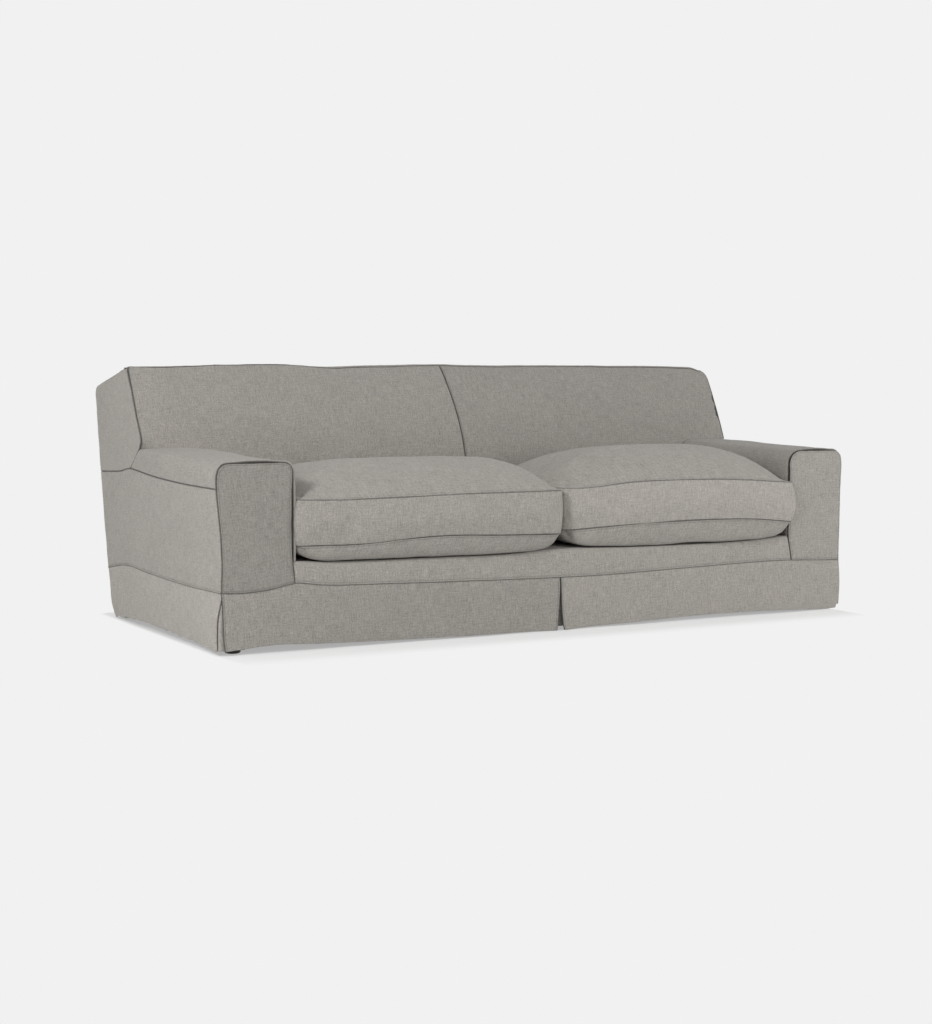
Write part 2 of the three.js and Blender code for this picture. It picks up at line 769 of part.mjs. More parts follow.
// Cover of the back: two front panels with a seam between them, sides, top and rear
function makeBackCovers() {
  const armRow = backRows.indexOf(backCutZ);
  for (const side of [-1, 1]) {
    const name = sideName(side);
    const columns = side < 0 ? backColumns.map((x) => -x).reverse() : backColumns;
    const overSeat = (i) => Math.max(Math.abs(columns[i]), Math.abs(columns[i + 1])) < armInnerX;
    const keep = (i, j) => overSeat(i) || j >= armRow;
    const at = (depth) => (x, z) => new THREE.Vector3(x, backFrontY(x, z) + depth, z);
    add(`cover_back_front_${name}`, gridWall(columns, backRows, at(0), at(cloth), keep), linen);

    const [fromX, toX] = spanOn(side, halfWidth - cloth, halfWidth);
    const front = steps(armTopZ(junctionY) + clearance, backHeight, 6).map((z) => [backFaceY(z), z]);
    add(`cover_back_side_${name}`, alongX([
      ...front, ...topProfile().slice(1),
      [rearY(sideSeamRearHeight), sideSeamRearHeight + clearance],
      [shoulderEndY + clearance, shoulderSeamZ(shoulderEndY) + clearance],
    ], fromX, toX), linen);
  }
  const over = topProfile();
  const under = over.map(([y, z], k) => (k < 2 ? [y, z - cloth] : [y - cloth, z - cloth]));
  under[under.length - 1] = [halfDepth - cloth, rearEdgeHeight];
  add('cover_back_top', alongX([...over, ...under.reverse()], -frameX, frameX), linen);

  const seam = skirtSeamHeight + clearance;
  const rearTop = rearEdgeHeight - clearance;
  add('cover_back_rear', alongX([
    [rearY(seam), seam], [rearY(rearTop), rearTop],
    [rearY(rearTop) - cloth, rearTop], [rearY(seam) - cloth, seam],
  ], -frameX, frameX), linen);
}

// Cover of the seat deck and the band below it
function makeDeckCovers() {
  const deckX = armInnerX - clearance;
  const seam = skirtSeamHeight + clearance;
  add('cover_front_band', block([-deckX, deckX], [frontY, frontY + cloth], [seam, deckHeight]), linen);
  const deckCloth = [deckHeight - cloth, deckHeight];
  add('cover_deck', block([-deckX, deckX], [frameFrontY, deckRearY], deckCloth), linen);
}

// Skirt panels hang from the seam with shallow folds, and pleats lie behind their edges
function foldDepth(share, drop) {
  return skirtWave * drop * (0.5 - 0.5 * Math.cos(2 * Math.PI * wavesPerPanel * share));
}

function makeSkirt() {
  const rows = steps(0, 1, 3);
  const seam = skirtSeamHeight;
  const fall = seam - hemHeight;
  const heightAt = (drop) => seam - drop * fall;
  const waveStart = pleatReturn + clearance;
  for (const side of [-1, 1]) {
    const name = sideName(side);
    const columns = [0, ...steps(waveStart, halfWidth - waveStart, 12), halfWidth];
    const waved = (x, drop) => {
      const share = (x - waveStart) / (halfWidth - 2 * waveStart);
      return share <= 0 || share >= 1 ? 0 : foldDepth(share, drop);
    };
    const edgeX = (x, drop) => (x === 0 ? clearance / 2 + (drop * pleatOpening) / 2 : x);
    const at = (depth) => (x, drop) => new THREE.Vector3(
      side * edgeX(x, drop), frontY + waved(x, drop) + depth, heightAt(drop));
    add(`skirt_front_${name}`, gridWall(columns, rows, at(0), at(cloth)), linen);
  }
  makeSideSkirts(rows, heightAt);

  const rearX = frameX;
  const rearAt = (depth) => (share, drop) => {
    const z = heightAt(drop);
    return new THREE.Vector3(-rearX + 2 * rearX * share, rearY(z) - foldDepth(share, drop) - depth, z);
  };
  add('skirt_rear', gridWall(steps(0, 1, 12), rows, rearAt(0), rearAt(cloth)), linen);

  const backing = frameFrontY;
  const backingSpan = [-pleatReturn, pleatReturn];
  add('pleat_backing_centre', block(backingSpan, [backing, backing + cloth], [hemHeight, seam]), linen);
}

// A side skirt runs from the rear corner to the front corner and turns in behind the front skirt
function makeSideSkirts(rows, heightAt) {
  const count = 10;
  for (const side of [-1, 1]) {
    const path = [...steps(0, 1, count), 'corner', 'return'];
    const at = (depth) => (stop, drop) => {
      const z = heightAt(drop);
      const cornerY = frameFrontY;
      if (stop === 'corner') {
        return new THREE.Vector3(side * (halfWidth - depth), cornerY + depth, z);
      }
      if (stop === 'return') {
        return new THREE.Vector3(side * (halfWidth - pleatReturn), cornerY + depth, z);
      }
      const nearCorner = cornerY + pleatReturn;
      const y = rearY(z) + stop * (nearCorner - rearY(z));
      return new THREE.Vector3(side * (halfWidth - foldDepth(stop, drop) - depth), y, z);
    };
    add(`skirt_side_${sideName(side)}`, gridWall(path, rows, at(0), at(cloth)), linen);
  }
}

// A box cushion on a cube's net: a, b and c run from -1 to 1 over its width, depth and height
const cushionWidth = armInnerX - 2 * cushionGap;
const cushionFrontY = frontY + cushionFrontInset + borderBulge;
const backAtSeams = steps(cushionBottomSeam, cushionTopSeam, 8).map((z) => backFrontY(0, z));
const cushionDepth = Math.min(...backAtSeams) - cushionGap - cushionFrontY;
const cushionBottom = deckHeight + clearance;
const zipRow = zipWidth / (cushionTopSeam - cushionBottomSeam);

function cushionPoint(side, a, b, c, inset) {
  const halfX = cushionWidth / 2 - inset;
  const halfY = cushionDepth / 2 - inset;
  const radius = cushionCornerRadius;
  let x = a * halfX;
  let y = b * halfY;
  const cornerX = Math.max(Math.abs(x) - (halfX - radius), 0) / radius;
  const cornerY = Math.max(Math.abs(y) - (halfY - radius), 0) / radius;
  const reach = Math.max(cornerX, cornerY);
  if (cornerX > 0 && cornerY > 0) {
    const length = Math.hypot(cornerX, cornerY) / reach;
    x = Math.sign(x) * (halfX - radius + (cornerX * radius) / length);
    y = Math.sign(y) * (halfY - radius + (cornerY * radius) / length);
  }
  x -= Math.sign(a) * cushionDrawIn * Math.abs(a) ** drawInPower * (1 - b * b);
  if (b < 0) y += cushionDrawIn * Math.abs(b) ** drawInPower * (1 - a * a);
  if (b === -1) y -= borderBulge * (1 - c * c) * (1 - a ** borderBulgePower);
  const band = (cushionTopSeam - cushionBottomSeam) / 2 - inset;
  const middle = (cushionTopSeam + cushionBottomSeam) / 2;
  const dome = (power) => (1 - Math.abs(a) ** power) * (1 - Math.abs(b) ** power);
  let z = middle + c * band;
  if (c === 1) z += cushionCrown * dome(crownPower);
  if (c === -1) z -= (cushionBottomSeam - cushionBottom) * dome(bellyPower);
  const centreX = side * (cushionGap + cushionWidth / 2);
  const centreY = cushionFrontY + cushionDepth / 2;
  return new THREE.Vector3(centreX + side * x, centreY + y, z);
}

function cushionNet() {
  const edgeX = 1 - (2 * cushionCornerRadius) / cushionWidth;
  const edgeY = 1 - (2 * cushionCornerRadius) / cushionDepth;
  const zipX = 1 - (2 * zipMargin) / cushionWidth;
  const across = [-1, -edgeX, ...steps(-zipX, zipX, 8), edgeX, 1];
  const along = [-1, ...steps(-edgeY, edgeY, 7), 1];
  const up = [-1, -zipRow, zipRow, 1];
  const ids = new Map();
  const places = [];
  const id = (a, b, c) => {
    const key = `${a},${b},${c}`;
    if (!ids.has(key)) {
      ids.set(key, places.length);
      places.push([a, b, c]);
    }
    return ids.get(key);
  };
  const cells = [];
  const face = (us, vs, corner, skip = () => false) => {
    for (let i = 0; i + 1 < us.length; i += 1) {
      for (let j = 0; j + 1 < vs.length; j += 1) {
        if (skip(us[i], us[i + 1], vs[j], vs[j + 1])) continue;
        const around = [[i, j], [i + 1, j], [i + 1, j + 1], [i, j + 1]];
        cells.push(around.map(([p, q]) => id(...corner(us[p], vs[q]))));
      }
    }
  };
  const zipCell = (u0, u1, v0, v1) => u0 >= -zipX && u1 <= zipX && v0 === -zipRow && v1 === zipRow;
  face(across, along, (u, v) => [u, v, 1]);
  face(along, across, (u, v) => [v, u, -1]);
  face(across, up, (u, v) => [u, -1, v]);
  face(along, up, (u, v) => [1, u, v]);
  face(up, along, (u, v) => [-1, v, u]);
  const shut = cells.slice();
  face(up, across, (u, v) => [v, 1, u], (u0, u1, v0, v1) => zipCell(v0, v1, u0, u1));
  const open = cells.slice();
  cells.splice(shut.length);
  face(up, across, (u, v) => [v, 1, u]);
  return { places, open, closed: cells, zipX };
}

function makeCushions() {
  const { places, open, closed, zipX } = cushionNet();
  for (const side of [-1, 1]) {
    const name = `seat_cushion_${sideName(side)}`;
    const surface = (inset) => places.map(([a, b, c]) => cushionPoint(side, a, b, c, inset));
    add(`${name}_cover`, wall(surface(0), surface(cloth), open), cushionLinen);

    const core = closed.flatMap(([a, b, c, d]) => [[a, b, c], [a, c, d]]);
    add(`${name}_core`, geometryFrom(surface(cloth + clearance), core), foam);

    const centre = cushionPoint(side, 0, 1, 0, 0);
    const halfZip = (zipX * cushionWidth) / 2 - cloth - clearance;
    const halfRow = (zipRow * (cushionTopSeam - cushionBottomSeam)) / 2 - clearance;
    add(`${name}_zip`, block(
      [centre.x - halfZip, centre.x + halfZip],
      [centre.y - cloth, centre.y],
      [centre.z - halfRow + clearance, centre.z + halfRow - clearance]), zipTape);
  }
}

const seatFrame = makeSeatFrame();
makeCornerBlocks(seatFrame);
makeFeet();
makeArmFrames();
makeBackFrame(seatFrame);
makeSprings();
makeBackWebbing();
makePadding();
makeArmCovers();
makeBackCovers();
makeDeckCovers();
makeSkirt();
makeCushions();

export default sofa;
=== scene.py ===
import math

import bmesh
import bpy
import numpy as np
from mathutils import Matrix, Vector
from mathutils.bvhtree import BVHTree
from mathutils.kdtree import KDTree


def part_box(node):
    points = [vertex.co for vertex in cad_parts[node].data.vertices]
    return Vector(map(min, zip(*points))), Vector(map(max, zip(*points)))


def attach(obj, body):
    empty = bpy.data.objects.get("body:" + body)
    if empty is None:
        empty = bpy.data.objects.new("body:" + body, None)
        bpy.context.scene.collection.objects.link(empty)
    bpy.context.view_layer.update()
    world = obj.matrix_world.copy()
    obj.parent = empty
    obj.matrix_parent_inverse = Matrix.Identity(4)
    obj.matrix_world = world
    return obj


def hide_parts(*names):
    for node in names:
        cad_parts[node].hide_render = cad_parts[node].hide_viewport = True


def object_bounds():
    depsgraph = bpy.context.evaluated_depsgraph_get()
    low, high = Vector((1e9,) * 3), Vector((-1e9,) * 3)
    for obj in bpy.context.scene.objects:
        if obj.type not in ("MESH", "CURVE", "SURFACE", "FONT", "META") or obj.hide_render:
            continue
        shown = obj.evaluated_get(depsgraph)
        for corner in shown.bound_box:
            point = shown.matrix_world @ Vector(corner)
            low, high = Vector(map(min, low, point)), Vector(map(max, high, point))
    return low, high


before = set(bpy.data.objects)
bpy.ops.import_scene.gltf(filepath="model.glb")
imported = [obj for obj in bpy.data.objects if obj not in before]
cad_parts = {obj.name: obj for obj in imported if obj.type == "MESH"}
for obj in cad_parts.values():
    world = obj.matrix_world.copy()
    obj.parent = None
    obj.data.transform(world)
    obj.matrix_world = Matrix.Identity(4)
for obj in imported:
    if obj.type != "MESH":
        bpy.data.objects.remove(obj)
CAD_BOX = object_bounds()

bl_info = {
    "name": "Slipcovered linen sofa",
    "version": (1, 0, 0),
    "blender": (4, 5, 0),
    "location": "View3D > Sidebar > Sofa",
    "description": "Sews a linen slipcover, cushions and skirt over the frame of a two-seat sofa",
    "category": "Object",
}

# Places taken from the frame, in metres
HALF_WIDTH = CAD_BOX[1].x
FRONT = CAD_BOX[0].y
REAR = CAD_BOX[1].y
TOP = CAD_BOX[1].z
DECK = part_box("cover_front_band")[1].z
ARM_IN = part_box("cover_arm_front_right")[0].x
ARM_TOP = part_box("cover_arm_front_right")[1].z
SKIRT_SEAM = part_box("skirt_front_left")[1].z
# Form of the back and of the arms
BACK_FOOT = FRONT + 0.597
BACK_LEAN = 0.1975
BACK_SWELL = 0.048
CREST_Y = BACK_FOOT + BACK_LEAN
TOP_FALL = math.tan(math.radians(11.2))
REAR_RAKE = math.tan(math.radians(11.35))
REAR_EDGE = 0.745
ARM_RISE = 0.02877
SHOULDER_WIDTH = 0.040
JUNCTION_Y = 0.088
SHOULDER_END_Y = 0.2053
JUNCTION_Z = 0.575
HALF_CORNER = 1 - math.sqrt(0.5)
CENTRE_SEAM_X = -0.012
CREST_SOFT = 0.013
CREST_SEAM = 0.16
CREST_TURN = 0.84
CREST_RETREAT = 0.233
FACE_RISE = 0.846
FACE_RUN = 0.533
TOP_RISE = 0.981
TOP_RUN = 0.194
SIDES = {"left": -1, "right": 1}
ARM_ROLL = {-1: 0.031, 1: 0.050}
# An arm's rounded shoulder: the power of its curve, how far it bulges, its width at the rear, and the
# swell of the flat top beside it
SHOULDER_POWER = 0.80
SHOULDER_BULGE = 0.003
SHOULDER_REAR_WIDTH = 0.008
ARM_TOP_SWELL = 0.004
# How far the upper left end of the back and its lower left corner are set back
END_SETBACK = 0.016
CORNER_SETBACK = 0.024
# How far down the crest's seam lies on the left, and how much further on the right
CREST_SEAM_LEFT = 0.0008
CREST_SEAM_RIGHT = 0.0062

# Heights of the sewn lines and hems, as (place, height) pairs read one by one
CREST_WAVE = [(-1.15, -0.005), (-1.03, -0.0065), (-0.94, -0.002), (-0.77, 0.004), (-0.62, 0.006),
              (-0.5, -0.001), (-0.44, -0.0025), (-0.36, 0.001), (-0.21, 0.004), (-0.04, 0.0075),
              (0.14, 0.0055), (0.49, 0.007), (0.8, 0.007), (1.0, 0.005), (1.15, 0.001)]
FRONT_SEAM = [(-1.15, 0.181), (-1.07, 0.179), (-1.0, 0.184), (-0.913, 0.199), (-0.838, 0.19),
              (-0.6, 0.181), (-0.3, 0.173), (-0.075, 0.1686), (0.154, 0.167), (0.478, 0.173),
              (0.93, 0.1785), (1.15, 0.17)]
FRONT_HEM = [(-1.14, 0.012), (-1.08, 0.017), (-0.985, 0.023), (-0.84, 0.017), (-0.43, 0.0065),
             (-0.1, 0.0030), (-0.018, 0.0015), (0.005, 0.0015), (0.1, 0.0045), (0.235, 0.0075),
             (0.563, 0.0135), (0.91, 0.0095), (1.09, 0.0025), (1.15, 0.004)]
SIDE_SEAM = [(-0.573, 0.18), (-0.23, 0.177), (0.041, 0.183), (0.261, 0.1885), (0.32, 0.184),
             (0.40, 0.172), (0.47, 0.162)]
SIDE_HEM = [(-0.573, 0.0150), (-0.352, 0.0185), (-0.088, 0.0222), (0.19, 0.0210), (0.30, 0.0125),
            (0.39, 0.006), (0.45, 0.006)]
SIDE_TOP = [(FRONT, 0.4803), (-0.2574, 0.4842), (0.0167, 0.4961), (0.16, 0.5062),
            (SHOULDER_END_Y, 0.5088)]
SIDE_TOP_REAR = [(SHOULDER_END_Y, 0.5088), (0.245, 0.5055), (0.30, 0.497), (0.3373, 0.4943),
                 (0.4459, 0.4897), (0.53, 0.4862)]
SHOULDER_END_LINE = [(0.112, JUNCTION_Z), (0.1186, 0.572), (0.1258, 0.5647), (SHOULDER_END_Y, 0.5088)]
SIDE_BULGE = {
    -1: [(0.0, 0.004), (0.09, 0.003), (0.178, -0.005), (0.2, -0.0055), (0.287, -0.007), (0.36, -0.003),
         (0.42, 0.003), (0.48, 0.0075), (0.53, 0.007), (0.6, 0.003), (0.8, 0.001)],
    1: [(0.0, -0.002), (0.09, 0.003), (0.174, -0.003), (0.267, -0.0035), (0.4, -0.001), (0.48, 0.003),
        (0.52, 0.0092), (0.545, 0.007), (0.6, 0.003), (0.8, 0.0)],
}
BAND_TOP = [(-0.92, 0.2632), (-0.84, 0.2584), (-0.777, 0.2560), (-0.60, 0.2530), (-0.42, 0.2524),
            (-0.293, 0.2510), (-0.153, 0.2526), (-0.083, 0.2576), (0.055, 0.2574), (0.15, 0.2555),
            (0.247, 0.2528), (0.394, 0.2519), (0.547, 0.2514), (0.73, 0.2540), (0.84, 0.2596),
            (0.92, 0.2632)]
# The band's left and right ends, as (height, place) pairs
BAND_ENDS = [[(0.19, -0.9145), (0.263, -0.9218)], [(0.18, 0.9335), (0.215, 0.9258), (0.263, 0.9172)]]
# The inner edges of the arms' front panels, as (distance from the middle, height) pairs
ARM_FRONT_INNER = {
    -1: [(0.912, 0.2), (0.9194, 0.263), (0.9245, 0.362), (0.9225, 0.45), (0.919, 0.51)],
    1: [(0.931, 0.1826), (0.9235, 0.215), (0.915, 0.263), (0.9205, 0.36), (0.919, 0.455), (0.9195, 0.49)],
}
# The left and right ends of the two front skirts, as (share of the drop, place) pairs
SKIRT_ENDS = {
    -1: [[(0, -1.1445), (0.2, -1.1415), (0.5, -1.1400), (0.75, -1.1398), (1, -1.1350)],
         [(0, -0.0006), (0.25, -0.002), (0.5, -0.006), (0.8, -0.0125), (1, -0.0175)]],
    1: [[(0, 0.0012), (0.3, 0.0010), (0.7, 0.0022), (0.9, 0.005), (1, 0.0085)],
        [(0, 1.1465), (0.25, 1.1515), (0.6, 1.1525), (0.85, 1.147), (1, 1.136)]],
}
# A cover's line behind an arm's front seam: distance back from the seam, share of the lip's height
ARM_LIP = [(0, 0), (0.003, 0.6), (0.007, 1.0), (0.012, 0.85), (0.020, 0.25), (0.030, 0)]
ARM_LIP_HEIGHT = {-1: 0.010, 1: 0.002}

# Seam profiles, as (distance from the seam, height) pairs
PLAIN = [(0, -0.0030), (0.0010, -0.0013), (0.0020, -0.0004), (0.0034, 0)]
LIP = [(0, -0.0030), (0.001, -0.0004), (0.002, 0.0009), (0.0034, 0.0013), (0.005, 0.001),
       (0.0062, -0.0004), (0.0072, -0.0008), (0.0084, -0.0004), (0.0096, 0), (0.013, 0)]
SHALLOW = [(0, -0.0014), (0.0012, -0.0004), (0.0025, 0)]
FLAT_LIP = [(0, -0.0012), (0.001, 0), (0.0034, 0.0008), (0.005, 0.0005), (0.0062, -0.0004),
            (0.0072, -0.0008), (0.0084, -0.0004), (0.0096, 0), (0.013, 0)]
HEM = [(0, -0.0006), (0.001, 0), (0.024, 0.0004), (0.0265, -0.0005), (0.029, 0)]
OPEN = [(0, -0.0008), (0.0015, 0)]
# Kinds of border: a profile, and whether the padded edge is rounded there
EDGE = (PLAIN, True)
SEAM = (PLAIN, False)
FAINT = (SHALLOW, False)
STITCHED = (LIP, False)
STITCHED_EDGE = (LIP, True)
FLAT_STITCHED = (FLAT_LIP, False)
HEMMED = (HEM, False)
LOOSE = (OPEN, False)
LOOSE_EDGE = (OPEN, True)
# Where the top stitches run beside a seam, and how wide and dark the painted shade in seams and along stitch
# rows is
STITCH_AT = 0.0070
STITCH_DENT = 0.0011
STITCH_SHADE = 0.32
CREASE_WIDTH = 0.0024
CREASE_SHADE = 0.80
CUSHION_CREASE_WIDTH = 0.0018
CUSHION_CREASE_SHADE = 0.82
CUSHION_END_SHADE = 0.80
CUSHION_STITCH_SHADE = 0.3
# Small gaps and overlaps of the sewn pieces, and how far a seam has any effect
SEAM_REST = 0.0003
SEAM_REACH = 0.06
SEAM_TURN = 0.003
SKIRT_TUCK = 0.002
ARM_HIDDEN_END = 0.012
PANEL_OVERLAP = 0.0025
BACKING_REACH = 0.08
BACKING_DEPTH = 0.0045
BACKING_HEM = 0.0125
FOOT_SHIFT = 0.009
ALLOWANCE = 0.008
ARM_ALLOWANCE = 0.012
CUSHION_SPLIT = 0.0015
# Lengths of the cover's broad and small waves and of the gathers beside its seams, how far the gathers
# reach and where they start, and the depth of a seam at which its lip has gone
BROAD_WAVE = 0.42
SMALL_WAVE = 0.13
GATHER_WAVE = 0.034
GATHER_REACH = 0.022
GATHER_START = 0.006
LIP_FADE = 0.0015
# Distances from a seam at which a net has a row or a column
NEAR_EDGE = [0, 0.0010, 0.0020, 0.0034, 0.0050, 0.0062, 0.0072, 0.0084, 0.0100, 0.0135, 0.0190, 0.0280]

# Rough lengths of the panels, which only set how finely their nets are divided
LENGTHS = {
    "back up": 0.27, "end across": 0.44, "shoulder": 0.10, "arm wall": 0.28, "arm along": 0.66,
    "side across": 1.05, "side up": 0.31, "arm front across": 0.23, "arm front up": 0.38,
    "band across": 1.83, "band up": 0.085, "deck deep": 0.59, "skirt down": 0.17,
    "front skirt across": 1.14, "side skirt across": 1.03,
    "cushion across": 0.916, "cushion deep": 0.59, "cushion border": 0.14,
}

# Painted light and shade: factors on the linen's colour, lighter or darker per panel as the light falls on
# it
PAINTED_LIGHT_TONES = {
    "back left": 0.935, "back right": 0.90, "sides": 1.05, "rear": 0.95,
    "arm top left": 1.0, "arm top right": 0.91, "arm front left": 0.81, "arm front right": 0.985,
    "band": 1.02, "skirt left": 0.925, "skirt right": 1.03, "side skirt": 1.19, "pleat": 0.8,
    "cushion panel left": 1.01, "cushion border left": 1.02, "cushion underside left": 0.86,
    "cushion panel right": 1.01, "cushion border right": 1.12, "cushion underside right": 0.91,
}
CUSHION_PARTS = ("panel", "border", "underside")

# The foam pads, with the spacing of their nets
PADS = {"arm_pad_left": 0.008, "arm_pad_right": 0.008, "deck_pad": 0.012, "back_pad": 0.014}
PAD_SHRINK = 0.001
# A foot's outline: shares of its radius, with heights above the floor, then below its top
FOOT_LOWER = [(0, 0), (0.72, 0), (0.9, 0.0015), (0.98, 0.005), (1, 0.010), (0.985, 0.016), (0.93, 0.024),
              (0.86, 0.04)]
FOOT_UPPER = [(0.84, -0.006), (0.95, -0.005), (0.95, 0), (0, 0)]
ZIP_TOOTH = {"Length": 0.0014, "Step": 0.0026, "Width": 0.0050}
ZIP_PULL = {"Length": 0.0060, "Step": 0.0040, "Width": 0.0040}
ZIP_MARGIN = 0.008
# The pull's distance from the end of its tape, its lift off the tape, and its ends below the teeth
PULL_INSET = 0.020
PULL_LIFT = 0.0012
PULL_ENDS = (0.002, 0.022)

# The camera, solved from the straight edges of the arms, the deck and the skirt
CAMERA_PLACE = (-2.9578, -5.2903, 0.7752)
CAMERA_YAW = math.radians(29.0017)
CAMERA_PITCH = math.radians(4.1002)
CAMERA_LENS = 61.86
CAMERA_SENSOR = 36
# The soft lights: name, place, diameter and power, all turned to one place on the sofa
LAMPS = [
    ("Left softbox", (-3.30, -1.95, 2.00), 0.72, 53.0),
    ("Right softbox", (2.20, -3.20, 1.20), 1.60, 37.5),
    ("Overhead softbox", (-0.60, 0.00, 3.60), 2.60, 4.5),
]
LAMP_TARGET = (0, 0, 0.35)
ROOM_LIGHT = 0.61
# The patch of floor that shows its own shading: its distances from the sofa, its share, and how much
# faster it ends to the right and to the rear
SHADED_FLOOR = {"From Min": 0.09, "From Max": 0.235, "To Min": 0.56, "To Max": 0.0}
SHADED_CENTRE = (-0.015, -0.030)
SHADED_INSET = (0.045, 0.030)
SHADED_SIDES = 5.0
SHADED_RIGHT = 3.2
SHADED_REAR = 5.0

stitch_lines = []
cover_nets = []


class SofaSizes(bpy.types.PropertyGroup):
    """Sizes of the sewn cover"""

    cloth: bpy.props.FloatProperty(
        name="Cloth", description="Thickness of the linen", default=0.0022, unit="LENGTH")
    edge_radius: bpy.props.FloatProperty(
        name="Edge radius", description="Softness of the padded edges", default=0.008, unit="LENGTH")
    far_corner_width: bpy.props.FloatProperty(
        name="Right corner width", description="Width over which the back's right top corner is rounded",
        default=0.085, unit="LENGTH")
    far_corner_height: bpy.props.FloatProperty(
        name="Right corner height", description="Height over which the back's right top corner is rounded",
        default=0.036, unit="LENGTH")
    near_corner_radius: bpy.props.FloatProperty(
        name="Left top corner", description="Radius of the back's left top corner", default=0.014,
        unit="LENGTH")
    ripple: bpy.props.FloatProperty(
        name="Ripple", description="Height of the broad unevenness of the cover", default=0.0016,
        unit="LENGTH")
    pucker: bpy.props.FloatProperty(
        name="Pucker", description="Height of the puckers beside a seam", default=0.0006, unit="LENGTH")
    net_step: bpy.props.FloatProperty(
        name="Net step", description="Spacing of the net of a panel", default=0.013, unit="LENGTH")
    stitch: bpy.props.FloatProperty(
        name="Stitch", description="Length of one stitch", default=0.0030, unit="LENGTH")
    stitch_gap: bpy.props.FloatProperty(
        name="Stitch gap", description="Gap between two stitches", default=0.0014, unit="LENGTH")
    thread: bpy.props.FloatProperty(
        name="Thread", description="Thickness of the sewing thread", default=0.0006, unit="LENGTH")
    tuck: bpy.props.FloatProperty(
        name="Tuck", description="Depth of the padding under the outside of the cover", default=0.009,
        unit="LENGTH")
    cushion_swell: bpy.props.FloatProperty(
        name="Cushion swell", description="Most that the filling may move the cushion's cloth",
        default=0.022, unit="LENGTH")


class SofaColours(bpy.types.PropertyGroup):
    """Colours of the finishes"""

    linen: bpy.props.FloatVectorProperty(
        name="Linen", description="Undyed grey linen of the cover", subtype="COLOR", size=3,
        default=(0.325, 0.306, 0.279))
    thread: bpy.props.FloatVectorProperty(
        name="Thread", description="Sewing thread", subtype="COLOR", size=3, default=(0.30, 0.28, 0.255))
    foot: bpy.props.FloatVectorProperty(
        name="Feet", description="Black lacquer of the feet", subtype="COLOR", size=3,
        default=(0.006, 0.0055, 0.005))
    wood: bpy.props.FloatVectorProperty(
        name="Frame wood", description="Beech of the frame", subtype="COLOR", size=3,
        default=(0.50, 0.30, 0.145))
    foam: bpy.props.FloatVectorProperty(
        name="Foam", description="Foam of the pads", subtype="COLOR", size=3, default=(0.79, 0.72, 0.55))
    steel: bpy.props.FloatVectorProperty(
        name="Steel", description="Spring wire", subtype="COLOR", size=3, default=(0.28, 0.285, 0.29))
    webbing: bpy.props.FloatVectorProperty(
        name="Webbing", description="Elastic webbing of the back", subtype="COLOR", size=3,
        default=(0.11, 0.075, 0.05))
    floor: bpy.props.FloatVectorProperty(
        name="Floor", description="Studio floor", subtype="COLOR", size=3, default=(0.84, 0.84, 0.84))
    floor_seen: bpy.props.FloatVectorProperty(
        name="Floor as seen", description="Even part of the floor's colour", subtype="COLOR", size=3,
        default=(0.879, 0.879, 0.879))
    backdrop: bpy.props.FloatVectorProperty(
        name="Backdrop", description="What the camera sees behind the floor", subtype="COLOR", size=3,
        default=(0.879, 0.879, 0.879))


# Curves and nets


def eased(table, at):
    """Height of a smooth curve through the table's points."""
    places, values = np.array(table, float).T
    slopes = np.gradient(values, places)
    at = np.asarray(at, float)
    k = np.clip(np.searchsorted(places, at) - 1, 0, len(places) - 2)
    width = places[k + 1] - places[k]
    t = np.clip((at - places[k]) / width, 0, 1)
    rise = (2 * t**3 - 3 * t**2 + 1) * values[k] + (3 * t**2 - 2 * t**3) * values[k + 1]
    return rise + width * ((t**3 - 2 * t**2 + t) * slopes[k] + (t**3 - t**2) * slopes[k + 1])


def step_up(t):
    """Smooth step from 0 to 1."""
    t = np.clip(t, 0, 1)
    return t * t * (3 - 2 * t)


def stations(length, step, start=True, end=True, extra=()):
    """Shares from 0 to 1 along a length, closer together beside its sewn ends."""
    near = [s for s in NEAR_EDGE if s < length * 0.45]
    low = near if start else [0]
    high = [length - s for s in near] if end else [length]
    inner = np.linspace(low[-1], high[-1], max(2, int((high[-1] - low[-1]) / step) + 1))
    places = sorted({round(float(p), 6) for p in [*low, *inner, *high, *extra]})
    return np.array(places) / length


def along(points, smooth=False):
    """A function from a share of its length to a point on the line through the points."""
    points = np.array(points, float)
    if smooth:
        rough = np.r_[0, np.cumsum(np.linalg.norm(np.diff(points, axis=0), axis=1))]
        fine = np.linspace(0, rough[-1], 200)
        points = np.stack([eased(list(zip(rough, column)), fine) for column in points.T], 1)
    run = np.r_[0, np.cumsum(np.linalg.norm(np.diff(points, axis=0), axis=1))]
    return lambda t: np.stack([np.interp(np.asarray(t) * run[-1], run, c) for c in points.T], -1)


def coons(bottom, top, left, right, across, up):
    """A patch with four given edges, each a function from 0 to 1."""
    u = across[None, :, None]
    v = up[:, None, None]
    low, high = bottom(across)[None], top(across)[None]
    start, end = left(up)[:, None], right(up)[:, None]
    corners = (1 - u) * (1 - v) * low[:, :1] + u * (1 - v) * low[:, -1:]
    corners = corners + (1 - u) * v * high[:, :1] + u * v * high[:, -1:]
    return (1 - v) * low + v * high + (1 - u) * start + u * end - corners


def ripples(points, length, seed, waves=8):
    """Smooth unevenness between about -1 and 1, the same at the same place."""
    rng = np.random.default_rng(seed)
    total = np.zeros(points.shape[:-1])
    for _ in range(waves):
        way = rng.normal(size=3)
        way *= 2 * math.pi / (length * rng.uniform(0.7, 1.5)) / np.linalg.norm(way)
        total += np.sin(points @ way + rng.uniform(0, 2 * math.pi))
    return total / math.sqrt(waves)


def run_lengths(net, axis):
    """Length along the net from its first column or row to each point."""
    step = np.linalg.norm(np.diff(net, axis=axis), axis=2)
    pad = [(0, 0), (0, 0)]
    pad[axis] = (1, 0)
    return np.cumsum(np.pad(step, pad), axis=axis)


